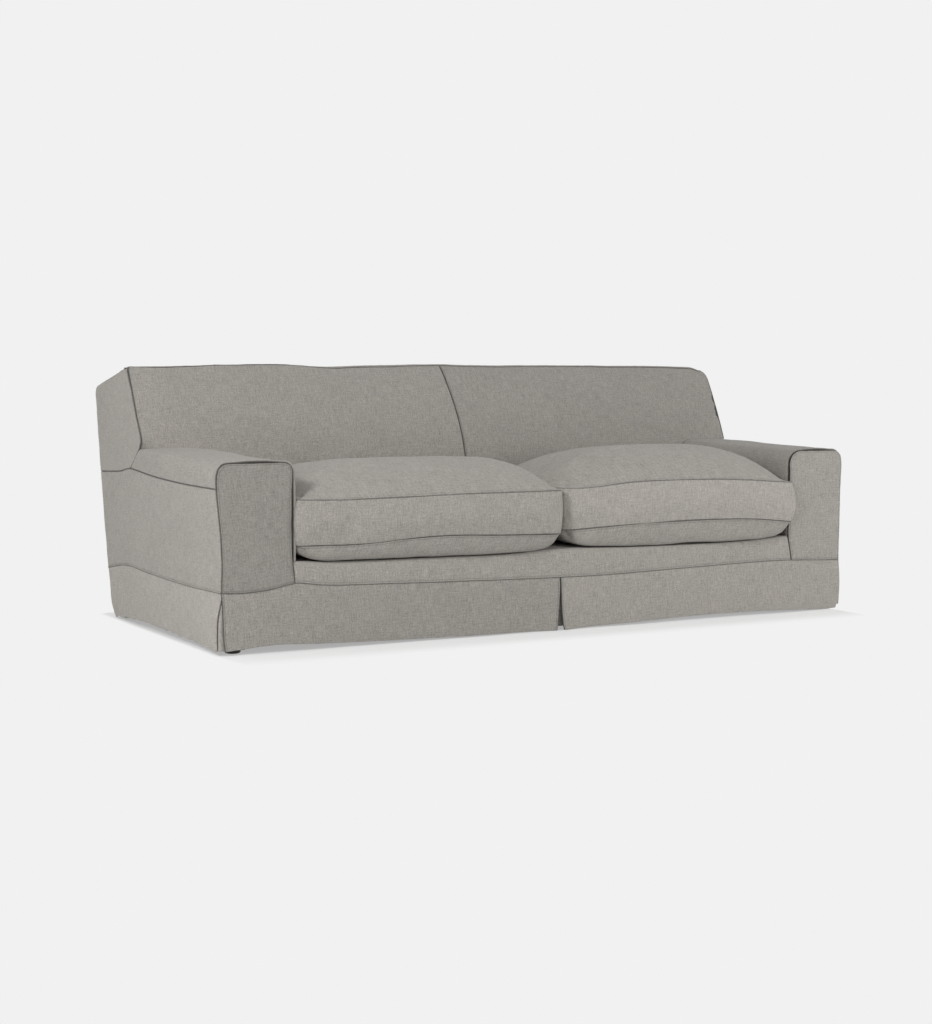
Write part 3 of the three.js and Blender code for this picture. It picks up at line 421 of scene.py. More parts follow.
def facing(net, inside):
    """Unit normals of a net, and whether its own turn points inwards."""
    normal = np.cross(np.gradient(net, axis=1), np.gradient(net, axis=0))
    normal /= np.maximum(np.linalg.norm(normal, axis=2, keepdims=True), 1e-12)
    turned = np.sum(normal * (net - np.array(inside))) < 0
    return (-normal if turned else normal), turned


def tree_of(points):
    """A search tree over the points."""
    tree = KDTree(len(points))
    for k, point in enumerate(points):
        tree.insert(point, k)
    tree.balance()
    return tree


def distance_to(net, line, reach=SEAM_REACH):
    """Distance of each point of the net from a line, up to a reach."""
    line = np.asarray(line, float)
    run = np.r_[0, np.cumsum(np.linalg.norm(np.diff(line, axis=0), axis=1))]
    step = 0.0008
    fine = np.arange(0, run[-1] + step, step)
    dense = np.stack([np.interp(fine, run, c) for c in line.T], 1)
    tree = tree_of(dense)
    flat = net.reshape(-1, 3)
    low, high = dense.min(0) - reach, dense.max(0) + reach
    close = np.all((flat > low) & (flat < high), axis=1)
    found = np.full(len(flat), reach)
    for k in np.nonzero(close)[0]:
        found[k] = min(tree.find(flat[k])[2], reach)
    return found.reshape(net.shape[:2])


def profile(table, distance):
    """Height of a seam profile at a distance from the seam."""
    places, heights = np.array(table).T
    return np.interp(distance, places, heights)


def beside(distance, width):
    """1 on a line, falling to 0 beside it."""
    return np.exp(-((distance / width) ** 2))


def stitch_dent(distance):
    """1 along the row of top stitches beside a seam, falling to 0 on both sides, for its painted shade."""
    return beside(distance - STITCH_AT, STITCH_DENT)


def rounding(distance, radius):
    """Drop of a rounded edge, whose seam lies half way round it."""
    left = np.clip(radius * (1 - HALF_CORNER) - distance, 0, None)
    return -(radius - np.sqrt(radius**2 - left**2))


def linked(name, data):
    """A new object of the data, in the scene."""
    piece = bpy.data.objects.new(name, data)
    bpy.context.scene.collection.objects.link(piece)
    return piece


def mesh_object(name, points, faces, uv=None, painted_seam_shade=None):
    """A smooth object of the points and faces, with its cloth coordinates and the painted shade of its
    seams.
    """
    mesh = bpy.data.meshes.new(name)
    mesh.from_pydata(points.tolist(), [], faces)
    if uv is not None:
        corner = np.zeros(len(mesh.loops), np.int32)
        mesh.loops.foreach_get("vertex_index", corner)
        layer = mesh.uv_layers.new(name="weave")
        layer.data.foreach_set("uv", np.asarray(uv, np.float32)[corner].ravel())
    if painted_seam_shade is not None:
        mesh.attributes.new("painted_seam_shade", "FLOAT", "POINT").data.foreach_set(
            "value", np.asarray(painted_seam_shade, np.float32))
    mesh.shade_smooth()
    return linked(name, mesh)


def quads_of(rows, columns, first=0):
    """The quads of a net, as the numbers of their points."""
    j, i = np.meshgrid(np.arange(rows - 1), np.arange(columns - 1), indexing="ij")
    a = first + j * columns + i
    return np.stack([a, a + 1, a + 1 + columns, a + columns], -1)


def shell_faces(rows, columns, keep, turned):
    """Quads of an outer and an inner net of the same size, with the rim between them."""
    cells = quads_of(rows, columns)[keep]
    if turned:
        cells = cells[:, ::-1]
    count = rows * columns
    start = cells.ravel()
    end = np.roll(cells, -1, axis=1).ravel()
    lone = ~np.isin(end * count + start, start * count + end)
    rim = np.stack([end[lone], start[lone], start[lone] + count, end[lone] + count], 1)
    return cells.tolist() + (cells[:, ::-1] + count).tolist() + rim.tolist()


def sew(name, net, inside, borders, nodes, finish, keep=None, seams=(), ripple=1.0,
        pucker=1.0, thickness=None, allowance=0.0):
    """Makes one panel of the cover from its net. Each border is (profile, is it an edge).

    The allowance is the depth to which the cloth turns inwards along its borders.
    """
    sizes = bpy.context.scene.sofa_sizes
    thickness = sizes.cloth if thickness is None else thickness
    rows, columns = net.shape[:2]
    if keep is None:
        keep = np.ones((rows - 1, columns - 1), bool)
    normal, turned = facing(net, inside)
    edges = {"left": net[:, 0], "right": net[:, -1], "bottom": net[0], "top": net[-1]}
    sewn = [(edges[side], *kind) for side, kind in borders.items() if kind]
    sewn += list(seams)
    dips, lips = np.zeros((rows, columns)), np.zeros((rows, columns))
    painted_seam_shade, nearest = np.zeros((rows, columns)), np.full((rows, columns), SEAM_REACH)
    rounded = np.zeros((rows, columns))
    to_border = np.full((rows, columns), 1.0)
    for k, (line, table, is_edge) in enumerate(sewn):
        distance = distance_to(net, line)
        if k < len(sewn) - len(seams):
            to_border = np.minimum(to_border, distance)
        height = profile(table, distance)
        dips = np.minimum(dips, height)
        lips = np.maximum(lips, height)
        if is_edge:
            rounded = np.minimum(rounded, rounding(distance, sizes.edge_radius))
        # Painted shade in the seams and along the stitch rows, kept as a point attribute that darkens the
        # linen
        if table in (PLAIN, LIP, SHALLOW, FLAT_LIP):
            painted_seam_shade = np.maximum(painted_seam_shade, beside(distance, CREASE_WIDTH))
            nearest = np.minimum(nearest, distance)
        if table in (LIP, FLAT_LIP):
            painted_seam_shade = np.maximum(painted_seam_shade, STITCH_SHADE * stitch_dent(distance))
    height = rounded + dips + lips * np.clip(1 + dips / LIP_FADE, 0, 1)
    height += sizes.ripple * ripple * (0.7 * ripples(net, BROAD_WAVE, 3) + 0.3 * ripples(net, SMALL_WAVE, 4))
    gathers = ripples(net, GATHER_WAVE, 5) * np.exp(-nearest / GATHER_REACH)
    gathers = gathers * np.clip(nearest / GATHER_START, 0, 1)
    height += sizes.pucker * pucker * gathers
    outer = net + normal * height[..., None]
    turned_in = allowance * beside(to_border, SEAM_TURN)
    inner = outer - normal * (thickness + turned_in)[..., None]
    across, up = run_lengths(net, 1), run_lengths(net, 0)
    offset = (sum(map(ord, name)) % 97) * 0.0371
    uv = np.stack([across + offset, up + offset * 0.7], -1).reshape(-1, 2)
    piece = mesh_object(
        name, np.concatenate([outer.reshape(-1, 3), inner.reshape(-1, 3)]),
        shell_faces(rows, columns, keep, turned), np.tile(uv, (2, 1)), np.tile(painted_seam_shade.ravel(), 2))
    piece.data.materials.append(finish)
    remember_net(outer, keep, turned)
    gather_stitches(outer + normal * SEAM_REST, borders)
    finish_piece(piece, "sofa", nodes)


def remember_net(outer, keep, turned):
    """Keeps the outside of a panel, so that the padding can be tucked under it."""
    rows, columns = outer.shape[:2]
    start = sum(len(points) for points, _ in cover_nets)
    cells = quads_of(rows, columns, start)[keep]
    cover_nets.append((outer.reshape(-1, 3), cells[:, ::-1] if turned else cells))


def gather_stitches(outer, borders):
    """Keeps the line of the top stitches beside each lipped border, up to a little from its corners."""
    clearance = 0.008
    for side, kind in borders.items():
        if not kind or kind[0] not in (LIP, FLAT_LIP):
            continue
        turn = {"left": (0, 1), "right": (0, -1), "bottom": (1, 1), "top": (1, -1)}[side]
        lines = outer if turn[0] == 0 else outer.transpose(1, 0, 2)
        lines = lines[:, :: turn[1]]
        points = []
        for line in lines:
            run = np.r_[0, np.cumsum(np.linalg.norm(np.diff(line[:24], axis=0), axis=1))]
            points.append([np.interp(STITCH_AT, run, c) for c in line[:24].T])
        points = np.array(points)
        clear = np.linalg.norm(points - points[0], axis=1) > clearance
        clear &= np.linalg.norm(points - points[-1], axis=1) > clearance
        if clear.sum() > 2:
            stitch_lines.append(points[clear])


def finish_piece(piece, body, nodes):
    """Tells the frame which nodes a piece stands for and the body it rides on."""
    if nodes:
        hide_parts(*nodes)
    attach(piece, body)


# Materials


class Finish:
    """A material whose nodes are added one call at a time."""

    def __init__(self, name):
        self.material = bpy.data.materials.new(name)
        self.material.use_nodes = True
        self.tree = self.material.node_tree
        self.shader = self.tree.nodes["Principled BSDF"]

    def add(self, kind, inputs=(), **settings):
        """A new node with its settings, then its inputs: values or sockets."""
        node = self.tree.nodes.new(kind)
        for key, value in settings.items():
            setattr(node, key, value)
        for key, value in dict(inputs).items():
            self.put(node.inputs[key], value)
        return node

    def put(self, socket, value):
        """Sets an input to a value, or links it to a socket."""
        if isinstance(value, bpy.types.NodeSocket):
            self.tree.links.new(value, socket)
        else:
            socket.default_value = value

    def sums(self, operation, *values):
        """The result of a math node."""
        node = self.add("ShaderNodeMath", operation=operation)
        for socket, value in zip(node.inputs, values):
            self.put(socket, value)
        return node.outputs[0]

    def noise(self, vector, scale, detail=2.0, stretch=None, roughness=0.5):
        """Noise between 0 and 1, which may be stretched."""
        if stretch:
            vector = self.add("ShaderNodeMapping", {"Vector": vector, "Scale": stretch}).outputs[0]
        return self.add("ShaderNodeTexNoise", {
            "Vector": vector, "Scale": scale, "Detail": detail, "Roughness": roughness}).outputs["Fac"]

    def around(self, value, amount):
        """The value less a half, times an amount."""
        return self.sums("MULTIPLY", self.sums("SUBTRACT", value, 0.5), amount)

    def bump(self, height, distance, strength, normal=None):
        """The normal of a fine relief, on top of another normal if there is one."""
        node = self.add("ShaderNodeBump", {"Height": height, "Distance": distance, "Strength": strength})
        if normal is not None:
            self.put(node.inputs["Normal"], normal)
        return node.outputs["Normal"]

    def tinted(self, colour, light):
        """The colour times the light, each a value or a socket."""
        node = self.add("ShaderNodeVectorMath", {0: colour, "Scale": light}, operation="SCALE")
        return node.outputs[0]

    def shade(self, **values):
        """Sets the shader's inputs and gives the material."""
        for key, value in values.items():
            self.put(self.shader.inputs[key.replace("_", " ")], value)
        return self.material


def linen_finish(name, tone):
    """Plain-woven linen with slubs in both directions, on the panel's own UV map in metres."""
    colour = bpy.context.scene.sofa_colours.linen
    finish = Finish(name)
    uv = finish.add("ShaderNodeUVMap", uv_map="weave").outputs["UV"]
    drift = finish.add("ShaderNodeTexNoise", {"Vector": uv, "Scale": 30.0, "Detail": 1.0}).outputs["Color"]
    drift = finish.add("ShaderNodeVectorMath", {0: drift, 1: (0.0040, 0.0040, 0.0)}, operation="MULTIPLY")
    place = finish.add("ShaderNodeVectorMath", {0: uv, 1: drift.outputs[0]}, operation="ADD").outputs[0]
    warp = finish.noise(place, 1.0, 2.0, (700.0, 60.0, 1.0), 0.6)
    weft = finish.noise(place, 1.0, 2.0, (60.0, 700.0, 1.0), 0.6)
    warp_slub = finish.noise(place, 1.0, 1.0, (260.0, 24.0, 1.0))
    weft_slub = finish.noise(place, 1.0, 1.0, (24.0, 240.0, 1.0))
    grain = finish.noise(place, 330.0, 2.0, roughness=0.7)
    fleck = finish.noise(place, 1.0, 2.0, (190.0, 150.0, 1.0), 0.6)
    cloud = finish.noise(uv, 34.0, 2.0)
    shade = finish.noise(uv, 7.0, 1.0)
    light = 1.0
    for value, amount in ((warp, 0.56), (weft, 0.46), (warp_slub, 0.44), (weft_slub, 0.32),
                          (grain, 1.05), (fleck, 0.50), (cloud, 0.17), (shade, 0.10)):
        light = finish.sums("ADD", finish.around(value, amount), light)
    # Painted shade in the seams and along the stitch rows darkens the linen
    painted_seam_shade = finish.add("ShaderNodeAttribute", attribute_name="painted_seam_shade").outputs["Fac"]
    shadow = finish.sums("MULTIPLY", painted_seam_shade, CREASE_SHADE)
    light = finish.sums("MULTIPLY", light, finish.sums("SUBTRACT", 1.0, shadow))
    # The tone is the panel's painted light and shade, a factor on the linen's colour
    tint = finish.tinted([part * tone for part in colour], light)
    pair = finish.add("ShaderNodeSeparateXYZ", {0: place}).outputs
    pitch = 2 * math.pi / 0.0013
    over = finish.sums("SINE", finish.sums("MULTIPLY", pair[0], pitch))
    under = finish.sums("SINE", finish.sums("MULTIPLY", pair[1], pitch))
    cells = finish.sums("MULTIPLY", over, under)
    height = finish.sums("ADD", finish.sums("MULTIPLY", cells, 0.25), finish.sums("ADD", warp, weft))
    normal = finish.bump(height, 0.0007, 0.6)
    slubs = finish.sums("ADD", warp_slub, weft_slub)
    normal = finish.bump(slubs, 0.0012, 0.4, normal)
    finish.shader.inputs["Specular IOR Level"].default_value = 0.22
    finish.shader.inputs["Sheen Weight"].default_value = 0.12
    finish.shader.inputs["Sheen Roughness"].default_value = 0.55
    return finish.shade(Base_Color=tint, Roughness=0.93, Normal=normal)


def object_place(finish):
    """The object's own coordinates in metres."""
    return finish.add("ShaderNodeTexCoord").outputs["Object"]


def wood_finish(name, stretch=(4.0, 60.0, 60.0)):
    """Beech, its grain along the axis that is stretched least."""
    colour = bpy.context.scene.sofa_colours.wood
    finish = Finish(name)
    place = object_place(finish)
    bend = finish.noise(place, 3.0, 2.0)
    rings = finish.add("ShaderNodeTexWave", {
        "Vector": finish.add("ShaderNodeMapping", {"Vector": place, "Scale": stretch}).outputs[0],
        "Scale": 0.9, "Distortion": 5.0, "Detail": 3.0, "Detail Scale": 1.4}, wave_type="BANDS",
        bands_direction="DIAGONAL").outputs["Fac"]
    pores = finish.noise(place, 1.0, 3.0, tuple(14 * s for s in stretch), 0.7)
    share = finish.sums("ADD", finish.sums("MULTIPLY", rings, 0.45), finish.sums("MULTIPLY", bend, 0.4))
    ramp = finish.add("ShaderNodeValToRGB", {"Fac": share})
    ramp.color_ramp.elements[0].color = (*[c * 0.72 for c in colour], 1)
    ramp.color_ramp.elements[1].color = (*[min(1, c * 1.3) for c in colour], 1)
    light = finish.sums("ADD", finish.around(pores, 0.5), 1.0)
    tint = finish.tinted(ramp.outputs["Color"], light)
    rough = finish.sums("ADD", finish.around(pores, 0.25), 0.62)
    return finish.shade(Base_Color=tint, Roughness=rough, Normal=finish.bump(pores, 0.0006, 0.4))


def foam_finish(name):
    """Cream foam with fine open cells."""
    colour = bpy.context.scene.sofa_colours.foam
    finish = Finish(name)
    place = object_place(finish)
    cells = finish.add("ShaderNodeTexVoronoi", {"Vector": place, "Scale": 420.0}).outputs["Distance"]
    cloud = finish.noise(place, 9.0, 3.0)
    light = finish.sums("ADD", finish.around(cloud, 0.16), finish.around(cells, 0.2))
    tint = finish.tinted(tuple(colour), finish.sums("ADD", light, 1.0))
    return finish.shade(Base_Color=tint, Roughness=0.9, Normal=finish.bump(cells, 0.0008, 0.6))


def steel_finish(name):
    """Drawn steel with light stains."""
    colour = bpy.context.scene.sofa_colours.steel
    finish = Finish(name)
    place = object_place(finish)
    drawn = finish.noise(place, 1.0, 2.0, (30.0, 500.0, 500.0))
    stain = finish.noise(place, 40.0, 4.0)
    tint = finish.tinted(tuple(colour), finish.sums("ADD", finish.around(stain, 0.7), 1.0))
    rough = finish.sums("ADD", finish.around(stain, 0.3), 0.42)
    return finish.shade(Base_Color=tint, Metallic=1.0, Roughness=rough,
                        Normal=finish.bump(drawn, 0.0001, 0.4))


def webbing_finish(name):
    """Ribbed woven tape."""
    colour = bpy.context.scene.sofa_colours.webbing
    finish = Finish(name)
    place = object_place(finish)
    pair = finish.add("ShaderNodeSeparateXYZ", {0: place}).outputs
    pitch = 2 * math.pi / 0.004
    ribs = finish.sums("SINE", finish.sums("MULTIPLY", pair[0], pitch))
    rows = finish.sums("SINE", finish.sums("MULTIPLY", pair[2], pitch))
    stripe = finish.sums("MULTIPLY", ribs, rows)
    light = finish.sums("ADD", finish.sums("MULTIPLY", stripe, 0.25), 1.0)
    light = finish.sums("ADD", light, finish.around(finish.noise(place, 300.0, 2.0), 0.5))
    tint = finish.tinted(tuple(colour), light)
    return finish.shade(Base_Color=tint, Roughness=0.85, Normal=finish.bump(stripe, 0.0005, 0.5))


def lacquer_finish(name):
    """Black lacquer with dust and scuffs."""
    colour = bpy.context.scene.sofa_colours.foot
    finish = Finish(name)
    place = object_place(finish)
    dust = finish.noise(place, 260.0, 4.0, roughness=0.7)
    scuff = finish.noise(place, 45.0, 3.0)
    tint = finish.tinted(tuple(colour), finish.sums("ADD", finish.around(scuff, 1.2), 1.2))
    rough = finish.sums("ADD", finish.around(dust, 0.3), 0.38)
    return finish.shade(Base_Color=tint, Roughness=rough, Normal=finish.bump(dust, 0.0003, 0.3))


def thread_finish(name):
    """Matt sewing thread."""
    colour = bpy.context.scene.sofa_colours.thread
    finish = Finish(name)
    place = object_place(finish)
    twist = finish.noise(place, 1500.0, 2.0)
    tint = finish.tinted(tuple(colour), finish.sums("ADD", finish.around(twist, 0.4), 1.0))
    return finish.shade(Base_Color=tint, Roughness=0.8, Normal=finish.bump(twist, 0.0002, 0.5))


def material(name, maker, *arguments):
    """The named material, made on its first use."""
    return bpy.data.materials.get(name) or maker(name, *arguments)


def linen_with_painted_light(name):
    """The linen with the named panel's painted light and shade."""
    return material(f"linen {name}", linen_finish, PAINTED_LIGHT_TONES[name])


# The back


def back_face(z):
    """Where the flat back would lie at a height: it leans and curves a little backwards."""
    rise = np.clip((z - DECK) / (TOP - DECK), 0, 1.1)
    return BACK_FOOT + BACK_LEAN * (0.14 * rise + 0.86 * rise**2)


def back_front(x, z):
    """Where the front of the back lies at a width and a height."""
    fall = np.clip((TOP - z) / (TOP - DECK), 0, 1)
    swell = BACK_SWELL * np.sin(math.pi * fall**0.8) * (1 - np.abs(x / HALF_WIDTH) ** 3)
    setback = END_SETBACK * step_up((-x - 1.04) / 0.11) * step_up((z - 0.6) / 0.08)
    lower_corner = CORNER_SETBACK * step_up((-x - 1.112) / 0.036) * step_up((0.605 - z) / 0.034)
    return back_face(z) - swell + setback + lower_corner


def crest(x, y):
    """Height of the top of the back."""
    fall = np.clip(y - CREST_Y, 0, None) * TOP_FALL
    fade = 1 - 0.7 * step_up((y - CREST_Y) / 0.35)
    return TOP + eased(CREST_WAVE, x) * fade - fall


def crest_seam(x):
    """How far down the front face the crest's seam lies, past the middle of the rounded edge."""
    return CREST_SEAM_LEFT + CREST_SEAM_RIGHT * step_up((x + 0.52) / 0.14)


def crest_retreat(length):
    """How far the rounded crest lies behind its sharp corner, at a length from the corner."""
    return CREST_RETREAT * CREST_SOFT * np.clip((CREST_SOFT - length) / (CREST_TURN * CREST_SOFT), 0, 1) ** 2


def crest_front(x, down):
    """A point of the front face, a length down from where it would meet the top."""
    top = crest(x, np.zeros_like(x))
    retreat = crest_retreat(down)
    z = top - down * FACE_RISE
    return np.stack([x, back_front(x, z) + retreat * FACE_RISE, z - retreat * FACE_RUN], -1)


def crest_top(x, back):
    """A point of the top, a length back from where it would meet the front face."""
    top = crest(x, np.zeros_like(x))
    y = back_front(x, top) + back
    retreat = crest_retreat(back)
    return np.stack([x, y - retreat * TOP_RUN, crest(x, y) - retreat * TOP_RISE], -1)


def rear_y(z):
    """Where the rear lies at a height."""
    return REAR - np.clip(REAR_EDGE - z, 0, None) * REAR_RAKE


def soften_corners(net):
    """Rounds the two upper ends of the back, more on the right."""
    sizes = bpy.context.scene.sofa_sizes
    x, y, z = net[..., 0], net[..., 1], net[..., 2]
    far = x > 0
    top = crest(x, y)
    fade = 1 - step_up((y - CREST_Y - 0.1) / 0.25) * 0.5
    wide = np.where(far, sizes.far_corner_width, sizes.near_corner_radius) * fade
    tall = np.where(far, sizes.far_corner_height, sizes.near_corner_radius) * fade
    u = np.clip(1 - (HALF_WIDTH - np.abs(x)) / wide, 0, 1)
    w = np.clip(1 - (top - z) / tall, 0, 1)
    both = (u > 0) & (w > 0)
    share = np.where(both, np.maximum(u, w) / np.maximum(np.hypot(u, w), 1e-9), 1)
    new_x = np.where(both, np.sign(x) * (HALF_WIDTH - wide * (1 - u * share)), x)
    new_z = np.where(both, top - tall * (1 - w * share), z)
    return np.stack([new_x, y, new_z], -1)


def junction_height(x):
    """Where the arm's cover meets the back."""
    out = np.abs(x) - ARM_IN
    roll = np.where(x > 0, ARM_ROLL[1], ARM_ROLL[-1])
    t = np.clip(out / roll, 0, 1)
    return JUNCTION_Z - roll * (1 - np.sqrt(np.clip(1 - (1 - t) ** 2, 0, 1)))


def make_back(sizes):
    """Sews the two front panels of the back, its ends, its top and its rear."""
    inset = HALF_CORNER * sizes.edge_radius
    reach = HALF_WIDTH - inset
    for name, side in SIDES.items():
        ends = (-reach, CENTRE_SEAM_X) if side < 0 else (CENTRE_SEAM_X, reach)
        width = ends[1] - ends[0]
        arm_place = abs(side * ARM_IN - ends[0])
        extra = [arm_place, arm_place - side * 0.002, arm_place + side * 0.003, arm_place + side * 0.006,
                 arm_place + side * 0.012, arm_place + side * 0.02]
        across = stations(width, sizes.net_step, extra=extra)
        x = ends[0] + across * width
        x[np.argmin(abs(x - side * ARM_IN))] = side * ARM_IN
        upper = stations(LENGTHS["back up"], sizes.net_step)
        lower = np.linspace(0, 1, 14)[:-1]
        beside_seat = junction_height(np.full_like(x, side * ARM_IN))
        join = np.where(np.abs(x) < ARM_IN, beside_seat, junction_height(x)) - PANEL_OVERLAP
        seam = CREST_SEAM * CREST_SOFT + crest_seam(x)
        crown = crest(x, np.zeros_like(x))
        top = crown - seam * FACE_RISE
        z = np.concatenate([DECK + lower[:, None] * (join - DECK), join + upper[:, None] * (top - join)])
        xs = np.broadcast_to(x, z.shape)
        net = soften_corners(crest_front(xs, (crown - z) / FACE_RISE))
        over_seat = (np.abs(x[1:]) <= ARM_IN + 1e-6) & (np.abs(x[:-1]) <= ARM_IN + 1e-6)
        keep = np.broadcast_to(over_seat, (len(z) - 1, len(x) - 1)).copy()
        keep[len(lower):] = True
        on_arm = np.abs(x) >= ARM_IN - 1e-6
        junction = net[len(lower), on_arm]
        wall = net[: len(lower) + 1, np.argmin(abs(x - side * ARM_IN))]
        outer_end, inner_end = ("left", "right") if side < 0 else ("right", "left")
        borders = {outer_end: EDGE, inner_end: STITCHED if side > 0 else SEAM, "top": SEAM}
        sew(f"back_panel_{name}", net, (0, 0.5, 0.4), borders, [f"cover_back_front_{name}"],
            linen_with_painted_light(f"back {name}"), keep=keep, seams=[(junction, *SEAM), (wall, *SEAM)],
            ripple=1.3, allowance=ALLOWANCE)
        make_back_side(name, side, sizes, inset)
    make_back_top(sizes, inset)


def make_back_side(name, side, sizes, inset):
    """Sews one end of the back."""
    heights = np.linspace(JUNCTION_Z, TOP - 0.005, 30)
    edge = np.full(30, side * HALF_WIDTH)
    front = along(np.stack([back_front(edge, heights) + inset, heights], 1))
    depths = np.linspace(CREST_Y + 0.026, REAR - 0.045, 20)
    top_line = np.stack([depths, crest(edge[:20], depths)], 1)
    roll = np.array([[REAR - 0.030, 0.779], [REAR - 0.012, 0.767], [REAR - inset, REAR_EDGE]])
    top = along(np.concatenate([[front(1.0)], top_line[1:], roll]), smooth=True)
    low_corner = [rear_y(0.487) - inset, 0.4872]
    rear = along([low_corner, [REAR - inset, REAR_EDGE]])
    bottom = along([[float(front(0.0)[0]), JUNCTION_Z], *SHOULDER_END_LINE[1:], *SIDE_TOP_REAR[1:-1],
                    low_corner])
    across = stations(LENGTHS["end across"], sizes.net_step)
    up = stations(LENGTHS["back up"], sizes.net_step)
    flat = coons(bottom, top, front, rear, across, up)
    y, z = flat[..., 0], flat[..., 1]
    net = soften_corners(np.stack([side * side_x(side, y, z), y, z], -1))
    borders = {"left": EDGE, "right": EDGE, "top": FAINT, "bottom": SEAM}
    sew(f"back_side_{name}", net, (0, y.mean(), z.mean()), borders, [f"cover_back_side_{name}"],
        linen_with_painted_light("sides"), allowance=ALLOWANCE)


def make_back_top(sizes, inset):
    """Sews the top of the back, which rolls over its rear edge, and the rear below it."""
    reach = HALF_WIDTH
    across = stations(2 * reach, sizes.net_step)
    x = -reach + across * 2 * reach
    turn = REAR - 0.060
    down = CREST_SEAM * CREST_SOFT + crest_seam(x)[None] * np.array([1, 0.8, 0.55, 0.3, 0.12])[:, None]
    first_rows = crest_front(np.broadcast_to(x, down.shape), down)
    edge_y = back_front(x, crest(x, np.zeros_like(x)))
    back = np.array([CREST_SEAM, 0.3, 0.5, 0.75, 1.0]) * CREST_SOFT
    edge_rows = crest_top(np.broadcast_to(x, (5, len(x))), np.repeat(back[:, None], len(x), 1))
    share = np.linspace(0, 1, int((turn - CREST_Y) / sizes.net_step))[1:, None]
    start = (edge_y + CREST_SOFT)[None]
    flat_y = start + share * (turn - start)
    angle = np.linspace(0, 1, 14)[1:]
    roll_y = (1 - angle) ** 2 * turn + 2 * angle * (1 - angle) * REAR + angle**2 * REAR
    edge_z = REAR_EDGE + (crest(0.0, REAR) - TOP + (REAR - CREST_Y) * TOP_FALL)
    from_turn = ((1 - angle) ** 2)[:, None] * crest(x, np.full_like(x, turn))
    over_edge = (2 * angle * (1 - angle))[:, None] * crest(x, np.full_like(x, REAR))
    roll_z = from_turn + over_edge + (angle**2)[:, None] * edge_z
    ys = np.concatenate([flat_y, np.repeat(roll_y[:, None], len(x), 1)])
    z = np.concatenate([crest(x[None], flat_y), roll_z])
    rest = np.stack([np.broadcast_to(x, z.shape), ys, z], -1)
    net = soften_corners(np.concatenate([first_rows, edge_rows, rest]))
    borders = {"left": FAINT, "right": FAINT, "bottom": SEAM, "top": SEAM}
    sew("back_top", net, (0, 0.35, 0.5), borders, ["cover_back_top"], linen_with_painted_light("back right"))
    tall = REAR_EDGE - SKIRT_SEAM
    height = SKIRT_SEAM + stations(tall, sizes.net_step) * tall
    x = x * (reach - inset) / reach
    xs, zs = np.meshgrid(x, height)
    pull = 0.004 * np.sin(math.pi * (zs - SKIRT_SEAM) / tall) * (1 - (xs / reach) ** 2)
    net = np.stack([xs, rear_y(zs) + pull, zs], -1)
    borders = {"left": EDGE, "right": EDGE, "bottom": STITCHED, "top": STITCHED}
    sew("back_rear", net, (0, 0, 0.4), borders, ["cover_back_rear"], linen_with_painted_light("rear"))


# The arms


def side_x(side, y, z):
    """Half width of the cover's outer side at a place."""
    far = step_up((y - FRONT) / 1.0)
    return HALF_WIDTH + eased(SIDE_BULGE[side], z) * (1 - far) + 0.002 * far


def arm_top(y):
    """Height of an arm's flat top."""
    return ARM_TOP + ARM_RISE * (y - FRONT)


def arm_point(side, y, t):
    """A point on the arm's section: t runs over the shoulder, the top, the inner roll and the wall."""
    roll = ARM_ROLL[side]
    wide = SHOULDER_WIDTH + (SHOULDER_REAR_WIDTH - SHOULDER_WIDTH) * step_up((y + 0.30) / 0.38)
    top = arm_top(y)
    seam = np.minimum(eased(SIDE_TOP, np.minimum(y, SHOULDER_END_Y)), top - 0.06)
    width = side_x(side, y, seam) - ARM_IN
    swing = np.clip(t, 0, 1) * math.pi / 2
    bulge = SHOULDER_BULGE * np.sin(2 * swing)
    shoulder = (width - wide + wide * np.cos(swing) ** SHOULDER_POWER + bulge,
                seam + (top - seam) * np.sin(swing) ** SHOULDER_POWER)
    f = np.clip(t - 1, 0, 1)
    flat = (width - wide + (roll - width + wide) * f, top + ARM_TOP_SWELL * np.sin(math.pi * f))
    turn = np.clip(t - 2, 0, 1) * math.pi / 2
    inner = (roll * (1 - np.sin(turn)), top - roll * (1 - np.cos(turn)))
    f = np.clip(t - 3, 0, 1)
    wall = (-0.001 * np.sin(math.pi * f), (top - roll) + (DECK - 0.003 - top + roll) * f)
    across = np.select([t < 1, t < 2, t < 3], [shoulder[0], flat[0], inner[0]], wall[0])
    height = np.select([t < 1, t < 2, t < 3], [shoulder[1], flat[1], inner[1]], wall[1])
    return side * (ARM_IN + across), height


def arm_middle(side):
    """A point inside an arm."""
    return side * 1.03, -0.2, 0.4


